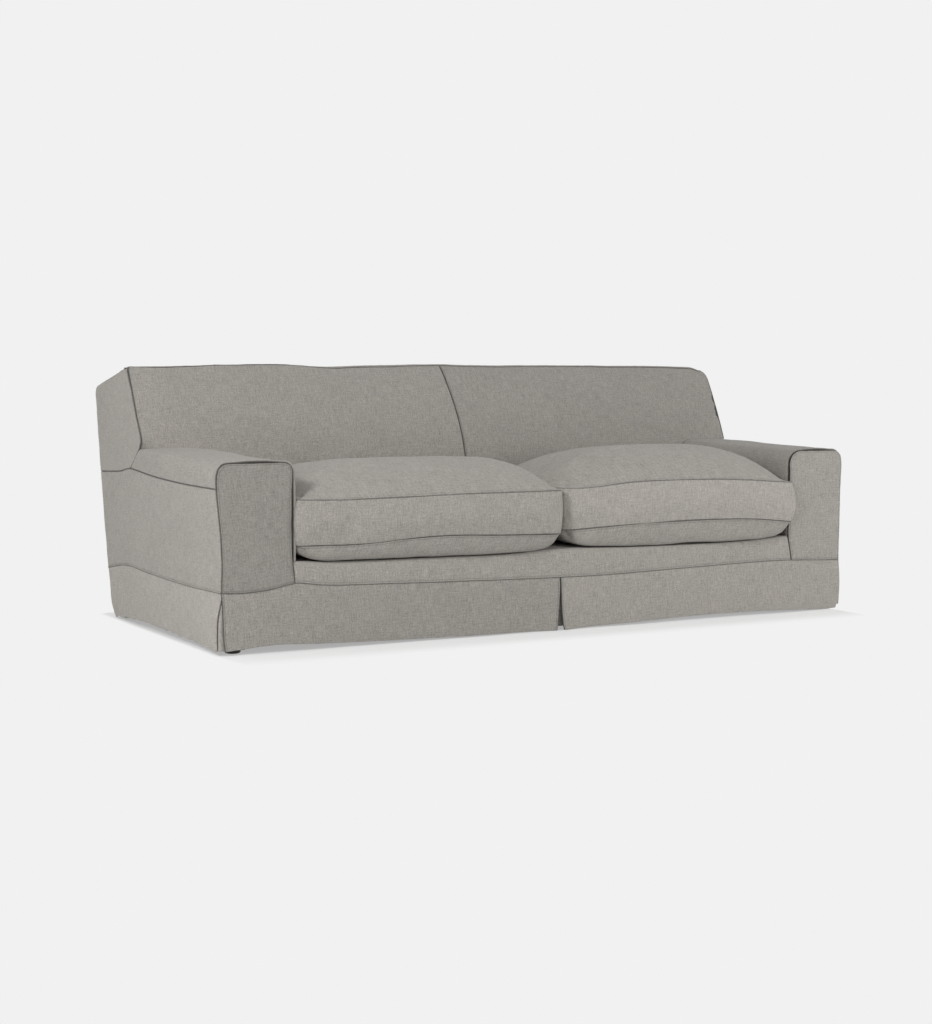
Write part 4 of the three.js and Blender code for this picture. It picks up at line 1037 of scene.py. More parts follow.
def make_arms(sizes):
    """Sews each arm's top, with its shoulder and inner wall, its side, its front and the tape behind."""
    inset = HALF_CORNER * sizes.edge_radius
    for name, side in SIDES.items():
        t = np.concatenate([
            stations(LENGTHS["shoulder"], 0.008, end=False), 1 + np.linspace(0, 1, 14)[1:],
            2 + np.linspace(0, 1, 9)[1:], 3 + stations(LENGTHS["arm wall"], 0.016, start=False)[1:]])
        run = stations(LENGTHS["arm along"], sizes.net_step)
        end = np.empty_like(t)
        for k, value in enumerate(t):
            y = JUNCTION_Y
            for _ in range(6):
                x, z = arm_point(side, np.array(y), np.array(value))
                y = float(back_front(x, z)) - 0.001
            line = np.array(SHOULDER_END_LINE[::-1])
            for _ in range(10 if value < 1 else 0):
                z = arm_point(side, np.array(y), np.array(value))[1]
                y = float(np.interp(z, line[:, 1], line[:, 0])) + 0.0004
            end[k] = y + ARM_HIDDEN_END * step_up((value - 1.05) / 0.2)
        start = FRONT + inset
        y = start + run[:, None] * (end[None, :] - start)
        x, z = arm_point(side, y, np.broadcast_to(t, y.shape))
        turn = np.clip(t - 2, 0, 1) * math.pi / 2
        lip = eased(ARM_LIP, y - start) * (0.002 + (ARM_LIP_HEIGHT[side] - 0.002) * np.sin(turn))
        x = x - side * lip * np.sin(turn)
        z = z + lip * np.cos(turn) * step_up((t - 0.6) / 0.4)
        net = np.stack([x, y, z], -1)
        borders = {"bottom": EDGE, "top": SEAM, "left": SEAM}
        sew(f"arm_top_{name}", net, arm_middle(side), borders, [f"cover_arm_top_{name}"],
            linen_with_painted_light(f"arm top {name}"), allowance=ARM_ALLOWANCE)
        make_arm_side(name, side, sizes, inset)
        make_arm_front(name, side, inset)
        make_seam_tape(name, side)


def make_seam_tape(name, side):
    """The folded seam allowance under an arm's front seam, which closes the seam from behind."""
    t = np.concatenate([np.linspace(0.1, 2, 24), np.linspace(2, 3, 9)[1:], np.linspace(3, 3.97, 10)[1:]])
    y = FRONT + np.array([0.0060, 0.0064, 0.0140, 0.0220])[:, None] + np.zeros_like(t)
    x, z = arm_point(side, y, np.broadcast_to(t, y.shape))
    net = np.stack([x, y, z], -1)
    normal, _ = facing(net, arm_middle(side))
    depth = np.array([0.018, 0.003, 0.003, 0.003])[:, None, None]
    sew(f"arm_seam_tape_{name}", net - normal * depth, arm_middle(side), {}, [],
        linen_with_painted_light(f"arm front {name}"), ripple=0, pucker=0, thickness=0.001)


def make_arm_side(name, side, sizes, inset):
    """Sews the outer side of the sofa below an arm and the back's end."""
    across = stations(LENGTHS["side across"], sizes.net_step)
    up = stations(LENGTHS["side up"], sizes.net_step)
    y_low = FRONT + inset + across * (rear_y(0.17) - FRONT - 2 * inset)
    y_high = FRONT + inset + across * (rear_y(0.487) - FRONT - 2 * inset)
    bottom = eased(SIDE_SEAM, y_low) - SEAM_REST
    top = np.where(y_high < SHOULDER_END_Y, eased(SIDE_TOP, y_high), eased(SIDE_TOP_REAR, y_high))
    top = top + SEAM_REST
    v = up[:, None]
    y = (1 - v) * y_low + v * y_high
    z = (1 - v) * bottom + v * top
    net = np.stack([side * side_x(side, y, z), y, z], -1)
    borders = {"left": EDGE, "right": EDGE, "bottom": STITCHED, "top": SEAM}
    sew(f"side_panel_{name}", net, (0, -0.05, 0.35), borders, [f"cover_side_{name}"], linen_with_painted_light("sides"),
        allowance=ALLOWANCE)


def make_arm_front(name, side, inset):
    """Sews the panel on an arm's front, a little pillowed."""
    roll = ARM_ROLL[side]
    seam_z = float(eased(SIDE_TOP, FRONT))
    width = float(side_x(side, FRONT, seam_z))
    shoulder, corner = [], []
    for a in np.linspace(0, math.pi / 2, 9):
        out = width - SHOULDER_WIDTH + SHOULDER_WIDTH * math.cos(a) ** SHOULDER_POWER
        out = out + SHOULDER_BULGE * math.sin(2 * a) - inset
        rise = (ARM_TOP - seam_z) * math.sin(a) ** SHOULDER_POWER
        shoulder.append((out, seam_z + rise - inset * math.sin(a)))
        corner.append((ARM_IN + inset + (roll - inset) * (1 - math.sin(a)),
                       ARM_TOP - inset - (roll - inset) * (1 - math.cos(a))))
    inner = [(x + inset, z) for x, z in ARM_FRONT_INNER[side]]
    base = np.linspace(float(side_x(side, FRONT, 0.18)) - inset, inner[0][0], 12)
    seam = eased(FRONT_SEAM, side * base) - SEAM_REST
    heights = np.linspace(float(seam[0]), seam_z, 20)
    outer_line = [(float(side_x(side, FRONT, z)) - inset, z) for z in heights] + shoulder[1:5]
    inner_line = np.array([(base[-1], float(seam[-1]))] + inner[1:] + corner[4:][::-1])
    inner_line = inner_line[np.argsort(inner_line[:, 1], kind="stable")]
    edges = [along(np.stack([base, seam], 1)), along(shoulder[4:] + corner[:5]), along(outer_line),
             along(inner_line, smooth=True)]
    across, up = stations(LENGTHS["arm front across"], 0.010), stations(LENGTHS["arm front up"], 0.011)
    flat = coons(*edges, across, up)
    x, z = flat[..., 0], flat[..., 1]
    u = np.linspace(-1, 1, x.shape[1])[None, :]
    v = np.linspace(-1, 1, x.shape[0])[:, None]
    pillow_depth = 0.0055
    pillow = pillow_depth * (1 - u**4) * (1 - v**6)
    net = np.stack([side * x, FRONT - pillow, z], -1)
    borders = {"left": STITCHED_EDGE, "right": STITCHED_EDGE, "top": STITCHED_EDGE, "bottom": STITCHED}
    sew(f"arm_front_{name}", net, (side * 1.03, 0, 0.4), borders, [f"cover_arm_front_{name}"],
        linen_with_painted_light(f"arm front {name}"), allowance=ALLOWANCE)


# The seat deck


def make_deck(sizes):
    """Sews the band over the front rail and lays the cloth of the deck."""
    inset = HALF_CORNER * sizes.edge_radius
    up = stations(LENGTHS["band up"], 0.008)
    across = stations(LENGTHS["band across"], sizes.net_step)
    rows = []
    for share in up:
        x = -0.915 + across * 1.835
        for _ in range(2):
            low = eased(FRONT_SEAM, x) - SEAM_REST
            high = eased(BAND_TOP, x) - inset
            z = low + share * (high - low)
            first, last = (profile(table, z) for table in BAND_ENDS)
            x = first + across * (last - first)
        swell = 0.003 * math.sin(math.pi * share)
        rows.append(np.stack([x, np.full_like(x, FRONT - swell), z], -1))
    borders = {"left": SEAM, "right": SEAM, "top": LOOSE_EDGE, "bottom": STITCHED}
    sew("front_band", np.array(rows), (0, 0, 0.22), borders, ["cover_front_band"], linen_with_painted_light("band"),
        pucker=1.6)
    reach = ARM_IN - 0.0016
    across = stations(2 * reach, 0.03, start=False, end=False)
    depth = stations(LENGTHS["deck deep"], 0.03, end=False)
    x = -reach + across * 2 * reach
    y = FRONT + inset + depth * (BACK_FOOT - 0.004 - FRONT - inset)
    xs, ys = np.meshgrid(x, y)
    xs = xs * (1 + 0.0076 / reach * step_up((ys - FRONT) / 0.03))
    near = 1 - step_up((ys - FRONT) / 0.12)
    z = DECK + (eased(BAND_TOP, xs) - DECK) * near
    sew("deck_cloth", np.stack([xs, ys, z], -1), (0, -0.3, 0), {"bottom": LOOSE_EDGE}, ["cover_deck"],
        linen_with_painted_light("band"), ripple=0.2)


# The skirt


def hang(x, y, z, drop, seed):
    """Gentle folds that grow towards the hem and hardly change on the way down."""
    depth = 0.0035
    place = np.stack([x, y, z * 0.12], -1)
    return depth * drop * ripples(place, 0.30, seed)


def make_skirt(sizes):
    """Hangs the skirt: two front pieces, two sides, the rear and the backing of the middle pleat."""
    drop = 1 - stations(LENGTHS["skirt down"], 0.010)
    across = stations(LENGTHS["front skirt across"], sizes.net_step)
    stand_off = 0.0025
    hem_lean = 0.002
    pleat_push = 0.010
    pleat_reach = 0.07
    corner_turn = 0.010
    for name, side in SIDES.items():
        rows = []
        for d in drop:
            first, last = (profile(table, d) for table in SKIRT_ENDS[side])
            x = first + across * (last - first)
            seam = eased(FRONT_SEAM, x) + SKIRT_TUCK
            z = seam + d * (eased(FRONT_HEM, x) - seam)
            y = np.full_like(x, FRONT - stand_off * step_up((d - 0.01) / 0.15))
            y = y - hang(x, y, z, d, 11) - hem_lean * d
            y = y - pleat_push * d**1.5 * beside(x, pleat_reach)
            if side > 0:
                y = y + corner_turn * np.clip((x - (last - corner_turn)) / corner_turn, 0, 1) ** 2
            rows.append(np.stack([x, y, z], -1))
        borders = {"top": SEAM, "bottom": HEMMED, "left": FLAT_STITCHED,
                   "right": FLAT_STITCHED if side < 0 else EDGE}
        sew(f"front_skirt_{name}", np.array(rows), (0, 0, 0.1), borders, [f"skirt_front_{name}"],
            linen_with_painted_light(f"skirt {name}"), ripple=0.5)
        make_side_skirt(name, side, sizes, drop)
    make_rear_skirt(sizes, drop)
    # The pleat's backing has painted shade, darker as it lies in the pleat's recess
    x = np.linspace(-BACKING_REACH, BACKING_REACH, 24)
    y = np.full_like(x, FRONT + BACKING_DEPTH)
    rows = [np.stack([x, y, eased(FRONT_SEAM, x) * (1 - d) + BACKING_HEM * d], -1)
            for d in np.linspace(1, 0, 16)]
    sew("pleat_backing", np.array(rows), (0, 0, 0.1), {"bottom": HEMMED}, ["pleat_backing_centre"],
        linen_with_painted_light("pleat"), ripple=0.2)


def make_side_skirt(name, side, sizes, drop):
    """Hangs one side, which turns in at the front corner, and behind the front piece, as the pleat."""
    fold = 0.003
    corner_opening = 0.0070
    rear_flare = 0.006
    rear_sweep = 0.026
    hem_fray = 0.0012
    corner_swell = 0.0055
    corner_swell_reach = 0.05
    rear_turn = 0.014
    along_side = stations(LENGTHS["side skirt across"], sizes.net_step, end=False)
    rows = []
    for d in drop:
        spread = step_up(d / 0.5)
        corner_y = FRONT + 0.0005 + corner_opening * spread
        rear = rear_y(0.178 - 0.16 * d) - 0.0005 + rear_flare * step_up((d - 0.2) / 0.5)
        rear = rear - rear_sweep * np.clip((d - 0.76) / 0.24, 0, 1) ** 2
        y = rear + along_side * (corner_y + fold - rear)
        seam = eased(SIDE_SEAM, np.clip(y, -0.573, 0.47)) + SKIRT_TUCK
        hem = eased(SIDE_HEM, np.clip(y, -0.573, 0.45))
        hem = hem + hem_fray * ripples(np.stack([y, y * 0, y * 0], -1), 0.045, 41)
        z = seam + d * (hem - seam)
        x = side_x(side, y, z) - hang(y, y * 0, z, d, 17)
        x = x + corner_swell * spread * np.exp((corner_y - y) / corner_swell_reach)
        x = x - step_up((y - rear + rear_turn) / rear_turn) * (0.002 + 0.012 * step_up((d - 0.75) / 0.25))
        swing = np.linspace(0, math.pi, 11)[1:]
        turn_x = x[-1] - fold + fold * np.cos(swing)
        turn_y = corner_y + fold - fold * np.sin(swing)
        groove = turn_x[-1] - np.array([0, 0.0002, 0.0006, 0.0014, 0.0020, 0.0024, 0.0026])
        depth = corner_y + fold + (0.001 + 0.009 * spread) * np.array([0.3, 0.7, 0.95, 1.0, 0.85, 0.5, 0.1])
        depth = np.where(groove < HALF_WIDTH - 0.0058, np.minimum(depth, FRONT + 0.0060), depth)
        back_x = np.linspace(groove[-1] - 0.0008, HALF_WIDTH - 0.080, 18)
        back_y = FRONT + 0.0024 + 0.0034 * np.exp(-(groove[-1] - back_x) / 0.002)
        x = np.concatenate([x, turn_x, groove, back_x])
        y = np.concatenate([y, turn_y, depth, back_y])
        z = np.concatenate([z, np.full(len(x) - len(z), z[-1])])
        rows.append(np.stack([side * x, y, z], -1))
    borders = {"top": SEAM, "bottom": HEMMED, "left": SEAM, "right": LOOSE}
    sew(f"side_skirt_{name}", np.array(rows), (0, 0, 0.1), borders, [f"skirt_side_{name}"],
        linen_with_painted_light("side skirt"), ripple=0.4)


def make_rear_skirt(sizes, drop):
    """Hangs the rear of the skirt."""
    reach = HALF_WIDTH - 0.006
    across = stations(2 * reach, sizes.net_step)
    rows = []
    for d in drop:
        x = (-1 + 2 * across) * (reach - 0.014 * step_up((d - 0.8) / 0.2))
        z = SKIRT_SEAM + SKIRT_TUCK + d * (0.011 - SKIRT_SEAM)
        z = z + np.zeros_like(x)
        y = rear_y(z) - hang(x, x * 0, z, d, 23)
        rows.append(np.stack([x, y, z], -1))
    borders = {"top": SEAM, "bottom": HEMMED, "left": EDGE, "right": EDGE}
    sew("rear_skirt", np.array(rows), (0, 0, 0.1), borders, ["skirt_rear"], linen_with_painted_light("rear"),
        ripple=0.4)


# The seat cushions

# Seam lines, lower belly line, height of the crown, place of the front at both ends, and how square the
# crown is to the left and right, and to the front and rear
CUSHION = {
    -1: {"top": [(-0.93, 0.4438), (-0.7735, 0.4395), (-0.5831, 0.4402), (-0.42, 0.4444), (-0.182, 0.4451),
                 (0.01, 0.4455)],
         "bottom": [(-0.93, 0.3077), (-0.6612, 0.3053), (-0.5327, 0.3143), (-0.42, 0.3182),
                    (-0.2178, 0.312), (0.01, 0.3068)],
         "belly": [(-0.93, 0.2620), (-0.78, 0.2608), (-0.60, 0.2585), (-0.42, 0.2570), (-0.29, 0.2548),
                   (-0.15, 0.2565), (0.01, 0.2590)],
         "crown": 0.0935, "front": (-0.577, -0.584), "across": (4.3, 8.0), "deep": (3.8, 2.4)},
    1: {"top": [(0.0, 0.4518), (0.0954, 0.4504), (0.26, 0.4623), (0.621, 0.4651), (0.93, 0.4469)],
        "bottom": [(0.0, 0.3139), (0.2373, 0.3242), (0.6227, 0.3311), (0.7686, 0.3265), (0.93, 0.3105)],
        "belly": [(0.0, 0.2628), (0.055, 0.2625), (0.15, 0.2600), (0.25, 0.2575), (0.39, 0.2562),
                  (0.55, 0.2560), (0.73, 0.2585), (0.93, 0.2640)],
        "crown": 0.117, "front": (-0.565, -0.592), "across": (3.15, 5.0), "deep": (3.8, 2.4)},
}
# Underside behind the lower front seam: distance along the cloth, way back from the seam, share of the
# fall to the deck, share of the belly that hangs over the deck's front edge
UNDERSIDE = np.array([
    (0, 0, 0, 0), (0.006, -0.0045, 0.10, 0), (0.014, -0.0090, 0.30, 0), (0.024, -0.0115, 0.56, 0.1),
    (0.034, -0.0095, 0.82, 0.45), (0.042, -0.0055, 0.97, 0.9), (0.050, 0.0010, 1.0, 1.0),
    (0.058, 0.0090, 1.0, 0.8), (0.068, 0.0220, 1.0, 0.1), (0.080, 0.045, 1.0, 0), (0.12, 0.12, 1.0, 0)])
CUSHION_STEP = 0.011
CORE_STEP = 0.02
CORE_INSET = 0.013
CORE_LIFT = 0.006
CORE_DEPTH = 0.010
CORNER_RADIUS = 0.024
CORNER_SWELL = 0.008
# The front left corner of each cushion is rounder than the others
SOFT_CORNER = {-1: 0.022, 1: 0.046}
WAIST_SIDE = 0.007
WAIST_FRONT = 0.004
BORDER_RUN = 0.035
BORDER_SWELL_SIDE = 0.0075
BORDER_SWELL_FRONT = 0.0100
# The flatter end of the left cushion's border, where the right one presses on it: how flat, from where
# and over which share of the width
PRESSED_FLAT = 0.75
PRESSED_FROM = 0.93
PRESSED_OVER = 0.07
# The right cushion's front right corner stands out past the arm's face, and a little more in its middle
PAST_FACE = 0.0125
PAST_FACE_SWELL = 0.0030
FACE_LINE = -0.5790
# Gap between a cushion and the deck, and how square its underside is across and along
DECK_GAP = 0.001
UNDERSIDE_POWERS = (15, 9)
# How far back the measured seam lines blend into the rear ones
SEAM_BLEND = 0.35
# Lengths of a cushion's waves and gathers, the gathers' height, reach and start, and how far from a seam
# the filling moves the cloth fully, and its share on the underside
CUSHION_WAVES = (0.30, 0.10)
CUSHION_GATHER_WAVE = 0.030
CUSHION_GATHER = 0.0010
CUSHION_GATHER_REACH = 0.028
CUSHION_GATHER_START = 0.007
FILLING_REACH = 0.04
FILLING_UNDER = 0.25
CUSHION_REAR = 0.0095
CUSHION_REACH = 0.9155
# Heights of the upper and lower seams along the rear
CUSHION_REAR_SEAMS = (0.450, 0.309)


def cushion_middle(y):
    """Where the two cushions meet: the left one presses the right one aside at the front."""
    return 0.009 * (1 - step_up((y - FRONT) / 0.16))


def cushion_point(side, a, b, c, top, inset=0.0):
    """A point of a cushion.

    a and b run over its width and depth, c from its lower to its upper seam, and top is 1 on the upper
    panel, -1 on the lower and 0 on the border.
    """
    shape = CUSHION[side]
    share = (a + 1) / 2
    front = shape["front"][0] + (shape["front"][1] - shape["front"][0]) * step_up(share)
    centre_y, half_y = (front + CUSHION_REAR) / 2, (CUSHION_REAR - front) / 2 - inset
    y_raw = centre_y + b * half_y
    middle = cushion_middle(y_raw) + side * CUSHION_SPLIT
    near, far = (-CUSHION_REACH, middle) if side < 0 else (middle, CUSHION_REACH)
    centre_x, half_x = (near + far) / 2, (far - near) / 2 - inset
    swell = np.where(top == 0, 1 - c**2, 0)
    x, y = a * half_x, b * half_y
    radius = CORNER_RADIUS - CORNER_SWELL * swell + np.where((a < 0) & (b < 0), SOFT_CORNER[side], 0)
    corner_x = np.clip(np.abs(x) - (half_x - radius), 0, None) / radius
    corner_y = np.clip(np.abs(y) - (half_y - radius), 0, None) / radius
    long = np.maximum(corner_x, corner_y) / np.maximum(np.hypot(corner_x, corner_y), 1e-9)
    both = (corner_x > 0) & (corner_y > 0)
    x = np.where(both, np.sign(x) * (half_x - radius + corner_x * radius * long), x)
    y = np.where(both, np.sign(y) * (half_y - radius + corner_y * radius * long), y)
    x = x - np.sign(a) * WAIST_SIDE * np.abs(a) ** 3 * (1 - b**2)
    y = y + np.where(b < 0, WAIST_FRONT * np.abs(b) ** 3 * (1 - a**2), 0)
    at_side = step_up((np.abs(a) * half_x - half_x + BORDER_RUN) / BORDER_RUN)
    at_end = step_up((np.abs(b) * half_y - half_y + BORDER_RUN) / BORDER_RUN)
    pressed = PRESSED_FLAT * step_up((a - PRESSED_FROM) / PRESSED_OVER) if side < 0 else 0
    plump = swell * (1 - pressed)
    x = x + np.sign(a) * at_side * plump * BORDER_SWELL_SIDE
    y = y - at_end * plump * np.where(b < 0, BORDER_SWELL_FRONT, 0)
    place_x, place_y = centre_x + x, centre_y + y
    high, low = eased(shape["top"], place_x), eased(shape["bottom"], place_x)
    fade = 1 - step_up((y + half_y) / SEAM_BLEND)
    high = CUSHION_REAR_SEAMS[0] + (high - CUSHION_REAR_SEAMS[0]) * fade - inset
    low = CUSHION_REAR_SEAMS[1] + (low - CUSHION_REAR_SEAMS[1]) * fade + inset
    z = (high + low) / 2 + c * (high - low) / 2
    wide = np.where(a < 0, shape["across"][0], shape["across"][1])
    deep = np.where(b < 0, shape["deep"][0], shape["deep"][1])
    dome = (1 - np.abs(a) ** wide) * (1 - np.abs(b) ** deep)
    run = (1 + b) * half_y
    sides = 1 - np.abs(a) ** UNDERSIDE_POWERS[0]
    flat_part = 1 - np.abs(b) ** UNDERSIDE_POWERS[1]
    under = sides * np.where(b < 0, np.interp(run, UNDERSIDE[:, 0], UNDERSIDE[:, 2]), flat_part)
    forward = np.interp(run, UNDERSIDE[:, 0], UNDERSIDE[:, 1]) - run
    z = np.where(top > 0, z + shape["crown"] * dome, z)
    hang_over = sides * np.where(b < 0, np.interp(run, UNDERSIDE[:, 0], UNDERSIDE[:, 3]), 0)
    fall = (low - DECK - DECK_GAP) * under
    belly = (DECK + DECK_GAP - eased(shape["belly"], place_x)) * hang_over
    z = np.where(top < 0, z - fall - belly, z)
    place_y = np.where((top < 0) & (run < UNDERSIDE[-1, 0]), place_y + forward * sides, place_y)
    if side > 0:
        in_front = step_up((FACE_LINE - place_y) / 0.006) * step_up((place_x - 0.85) / 0.06)
        place_x = place_x + in_front * (PAST_FACE + PAST_FACE_SWELL * swell)
    return np.stack([place_x, place_y, z], -1)


def cushion_net(side, step, inset=0.0):
    """The closed net of a cushion: points, quads, cloth coordinates and the two seam lines."""
    a = 2 * stations(LENGTHS["cushion across"], step) - 1
    b = 2 * stations(LENGTHS["cushion deep"], step) - 1
    c = 2 * stations(LENGTHS["cushion border"], step) - 1
    points, quads, uvs = [], [], []

    def patch(u, v, to_point, flip):
        uu, vv = np.meshgrid(u, v)
        net = to_point(uu, vv)
        base = sum(len(p) for p in points)
        points.append(net.reshape(-1, 3))
        flat = np.stack([run_lengths(net, 1), run_lengths(net, 0)], -1).reshape(-1, 2)
        uvs.append(flat + 0.713 * len(uvs))
        cells = quads_of(len(v), len(u), base).reshape(-1, 4)
        quads.append(cells[:, ::-1] if flip else cells)

    at = lambda aa, bb, cc, top: cushion_point(side, aa, bb, cc, np.full_like(aa, top), inset)
    one = np.ones_like
    patch(a, b, lambda u, v: at(u, v, one(u), 1), False)
    patch(a, b, lambda u, v: at(u, v, -one(u), -1), True)
    patch(a, c, lambda u, v: at(u, -one(u), v, 0), False)
    patch(a, c, lambda u, v: at(u, one(u), v, 0), True)
    patch(b, c, lambda u, v: at(one(u), u, v, 0), False)
    patch(b, c, lambda u, v: at(-one(u), u, v, 0), True)
    loop_a = np.concatenate([a, one(b), a[::-1], -one(b)])
    loop_b = np.concatenate([-one(a), b, one(a), b[::-1]])
    seams = [at(loop_a, loop_b, one(loop_a), 0), at(loop_a, loop_b, -one(loop_a), 0)]
    seams += [at(one(c), -one(c), c, 0)]
    return np.concatenate(points), np.concatenate(quads), np.concatenate(uvs), seams


def merged(name, points, quads, uvs=None):
    """A closed mesh of the patches, joined along their edges, its faces pointing out."""
    piece = mesh_object(name, points, quads.tolist(), uvs)
    shape = bmesh.new()
    shape.from_mesh(piece.data)
    bmesh.ops.remove_doubles(shape, verts=shape.verts, dist=0.00002)
    bmesh.ops.recalc_face_normals(shape, faces=shape.faces)
    shape.to_mesh(piece.data)
    shape.free()
    return piece


def coordinates(mesh, kind="co"):
    """The places of the mesh's points, or their normals."""
    flat = np.zeros(len(mesh.vertices) * 3, np.float32)
    mesh.vertices.foreach_get(kind, flat)
    return flat.reshape(-1, 3).astype(float)


def set_coordinates(mesh, points):
    """Moves the mesh's points."""
    mesh.vertices.foreach_set("co", points.astype(np.float32).ravel())
    mesh.update()


def filled(piece, seams, limit):
    """How far the filling moves each point: a cloth simulation on an even copy, held at its seams.

    The crown is already drawn, so only a share of the even part of the swelling is kept.
    """
    start = coordinates(piece.data)
    scene = bpy.context.scene
    coarse = linked("filling", piece.data.copy())
    bpy.context.view_layer.objects.active = coarse
    remesh = coarse.modifiers.new("Even net", "REMESH")
    remesh.mode = "VOXEL"
    remesh.voxel_size = 0.010
    depsgraph = bpy.context.evaluated_depsgraph_get()
    even = bpy.data.meshes.new_from_object(coarse.evaluated_get(depsgraph))
    coarse.modifiers.clear()
    coarse.data = even
    before = coordinates(even)
    near = np.min([distance_to(before[None], line)[0] for line in seams], axis=0)
    held = coarse.vertex_groups.new(name="Seams")
    held_reach, held_fade = 0.022, 0.012
    for index, weight in enumerate(np.clip((held_reach - near) / held_fade, 0, 1)):
        held.add([index], float(weight), "REPLACE")
    cloth = coarse.modifiers.new("Filling", "CLOTH")
    cloth.settings.vertex_group_mass = "Seams"
    cloth.settings.shrink_min = -0.02
    cloth.settings.use_pressure = True
    cloth.settings.uniform_pressure_force = 1.2
    cloth.settings.quality = 4
    cloth.settings.tension_stiffness = 25
    cloth.settings.compression_stiffness = 25
    cloth.settings.bending_stiffness = 1.5
    cloth.settings.effector_weights.gravity = 0
    frames = 16
    cloth.point_cache.frame_start = 1
    cloth.point_cache.frame_end = frames
    for number in range(1, frames + 1):
        scene.frame_set(number)
    depsgraph = bpy.context.evaluated_depsgraph_get()
    swollen = bpy.data.meshes.new_from_object(coarse.evaluated_get(depsgraph))
    move = coordinates(swollen) - before
    scene.frame_set(1)
    ends = np.zeros(len(even.edges) * 2, np.int32)
    even.edges.foreach_get("vertices", ends)
    ends = ends.reshape(-1, 2)
    both_ways = np.concatenate([ends, ends[:, ::-1]])
    neighbours = np.bincount(both_ways[:, 0], minlength=len(before))[:, None]
    broad = move
    rounds = 50
    for _ in range(rounds):
        broad = np.stack([np.bincount(both_ways[:, 0], broad[both_ways[:, 1], k], len(before))
                          for k in range(3)], 1) / neighbours
    loose = move - broad
    size = np.linalg.norm(loose, axis=1, keepdims=True)
    broad_share, largest_crease = 0.12, 0.004
    move = broad_share * broad + loose * np.minimum(1, largest_crease / np.maximum(size, 1e-9))
    tree = tree_of(before)
    found = np.zeros_like(start)
    for k, point in enumerate(start):
        near = tree.find_n(point, 5)
        weight = np.array([1 / (d + 0.004) ** 2 for _, _, d in near])
        found[k] = (move[[i for _, i, _ in near]] * weight[:, None]).sum(0) / weight.sum()
    bpy.data.objects.remove(coarse)
    size = np.linalg.norm(found, axis=1, keepdims=True)
    return found * np.minimum(1, limit / np.maximum(size, 1e-9))


def make_cushions(sizes):
    """Fills and sews the two seat cushions."""
    for name, side in SIDES.items():
        body = f"seat_cushion_{name}"
        points, quads, uvs, seams = cushion_net(side, CUSHION_STEP)
        piece = merged(f"cushion_cover_{name}", points, quads, uvs)
        at = coordinates(piece.data)
        move = filled(piece, seams, sizes.cushion_swell)
        out = coordinates(piece.data, "normal")
        seam_near = np.full(len(at), SEAM_REACH)
        height, painted_seam_shade = np.zeros(len(at)), np.zeros(len(at))
        is_border = border_share(at, seams)
        # Seam dips in the cloth, and painted shade in the seams and along the stitch rows
        for line in seams[:2]:
            distance = distance_to(at[None], line)[0]
            height += np.where(is_border, profile(PLAIN, distance), profile(LIP, distance))
            painted_seam_shade = np.maximum(painted_seam_shade, CUSHION_CREASE_SHADE * beside(distance, CUSHION_CREASE_WIDTH))
            painted_seam_shade = np.maximum(painted_seam_shade, np.where(is_border, 0, CUSHION_STITCH_SHADE) * stitch_dent(distance))
            seam_near = np.minimum(seam_near, distance)
        distance = distance_to(at[None], seams[2])[0]
        height += profile(SHALLOW, distance)
        painted_seam_shade = np.maximum(painted_seam_shade, CUSHION_END_SHADE * beside(distance, CUSHION_CREASE_WIDTH))
        broad, small = (ripples(at, length, seed + side) for length, seed in zip(CUSHION_WAVES, (31, 33)))
        height += sizes.ripple * (0.9 * broad + 0.3 * small)
        gathers = ripples(at * [1, 1, 0.25], CUSHION_GATHER_WAVE, 35)
        gathers = gathers * np.exp(-seam_near / CUSHION_GATHER_REACH)
        height += CUSHION_GATHER * gathers * np.clip(seam_near / CUSHION_GATHER_START, 0, 1)
        hold = np.clip(seam_near / FILLING_REACH, 0, 1)[:, None]
        is_under = at[:, 2] < seams[1][:, 2].mean() - 0.004
        hold = hold * np.where(is_under, FILLING_UNDER, 1)[:, None]
        final = at + out * height[:, None] + move * hold
        keep_clear(final, side)
        darkness = piece.data.attributes.new("painted_seam_shade", "FLOAT", "POINT")
        darkness.data.foreach_set("value", painted_seam_shade.astype(np.float32))
        set_coordinates(piece.data, final)
        # The border and underside get their own painted light and shade: the border lit lighter, the
        # underside shaded darker
        for part in CUSHION_PARTS:
            piece.data.materials.append(linen_with_painted_light(f"cushion {part} {name}"))
        low_seam = eased(CUSHION[side]["bottom"], at[:, 0])
        for face in piece.data.polygons:
            rim = [is_border[k] for k in face.vertices]
            below = max(at[k][2] - low_seam[k] for k in face.vertices) < 0.004
            face.material_index = 1 if any(rim) else (2 if below else 0)
        finish_piece(piece, body, [f"{body}_cover"])
        make_core(name, side, body, piece)


def keep_clear(points, side):
    """Keeps a cushion off the deck, the arm and the other cushion."""
    x, y, z = points.T
    over_deck, over_band = DECK + 0.0008, DECK - 0.0105
    gap = 0.0010
    arm_gap = 0.0012
    points[:, 2] = np.maximum(z, np.where(y > FRONT + 0.030, over_deck, over_band))
    middle = cushion_middle(y)
    inner = y > FRONT - 0.006
    if side < 0:
        lip = ARM_LIP_HEIGHT[-1] * eased(ARM_LIP, y - FRONT - 0.002)
        points[:, 0] = np.clip(x, np.where(inner, -ARM_IN + arm_gap + lip, -2), middle - gap)
    else:
        points[:, 0] = np.clip(x, middle + gap, np.where(inner, ARM_IN - arm_gap, 2))


def border_share(at, seams):
    """Which points lie on the border between the two seams."""
    high, low = (tree_of(line * [1, 1, 0]) for line in seams[:2])
    shares = np.zeros(len(at), bool)
    for k, point in enumerate(at):
        top = seams[0][high.find((point[0], point[1], 0))[1]][2]
        base = seams[1][low.find((point[0], point[1], 0))[1]][2]
        shares[k] = base < point[2] < top
    return shares


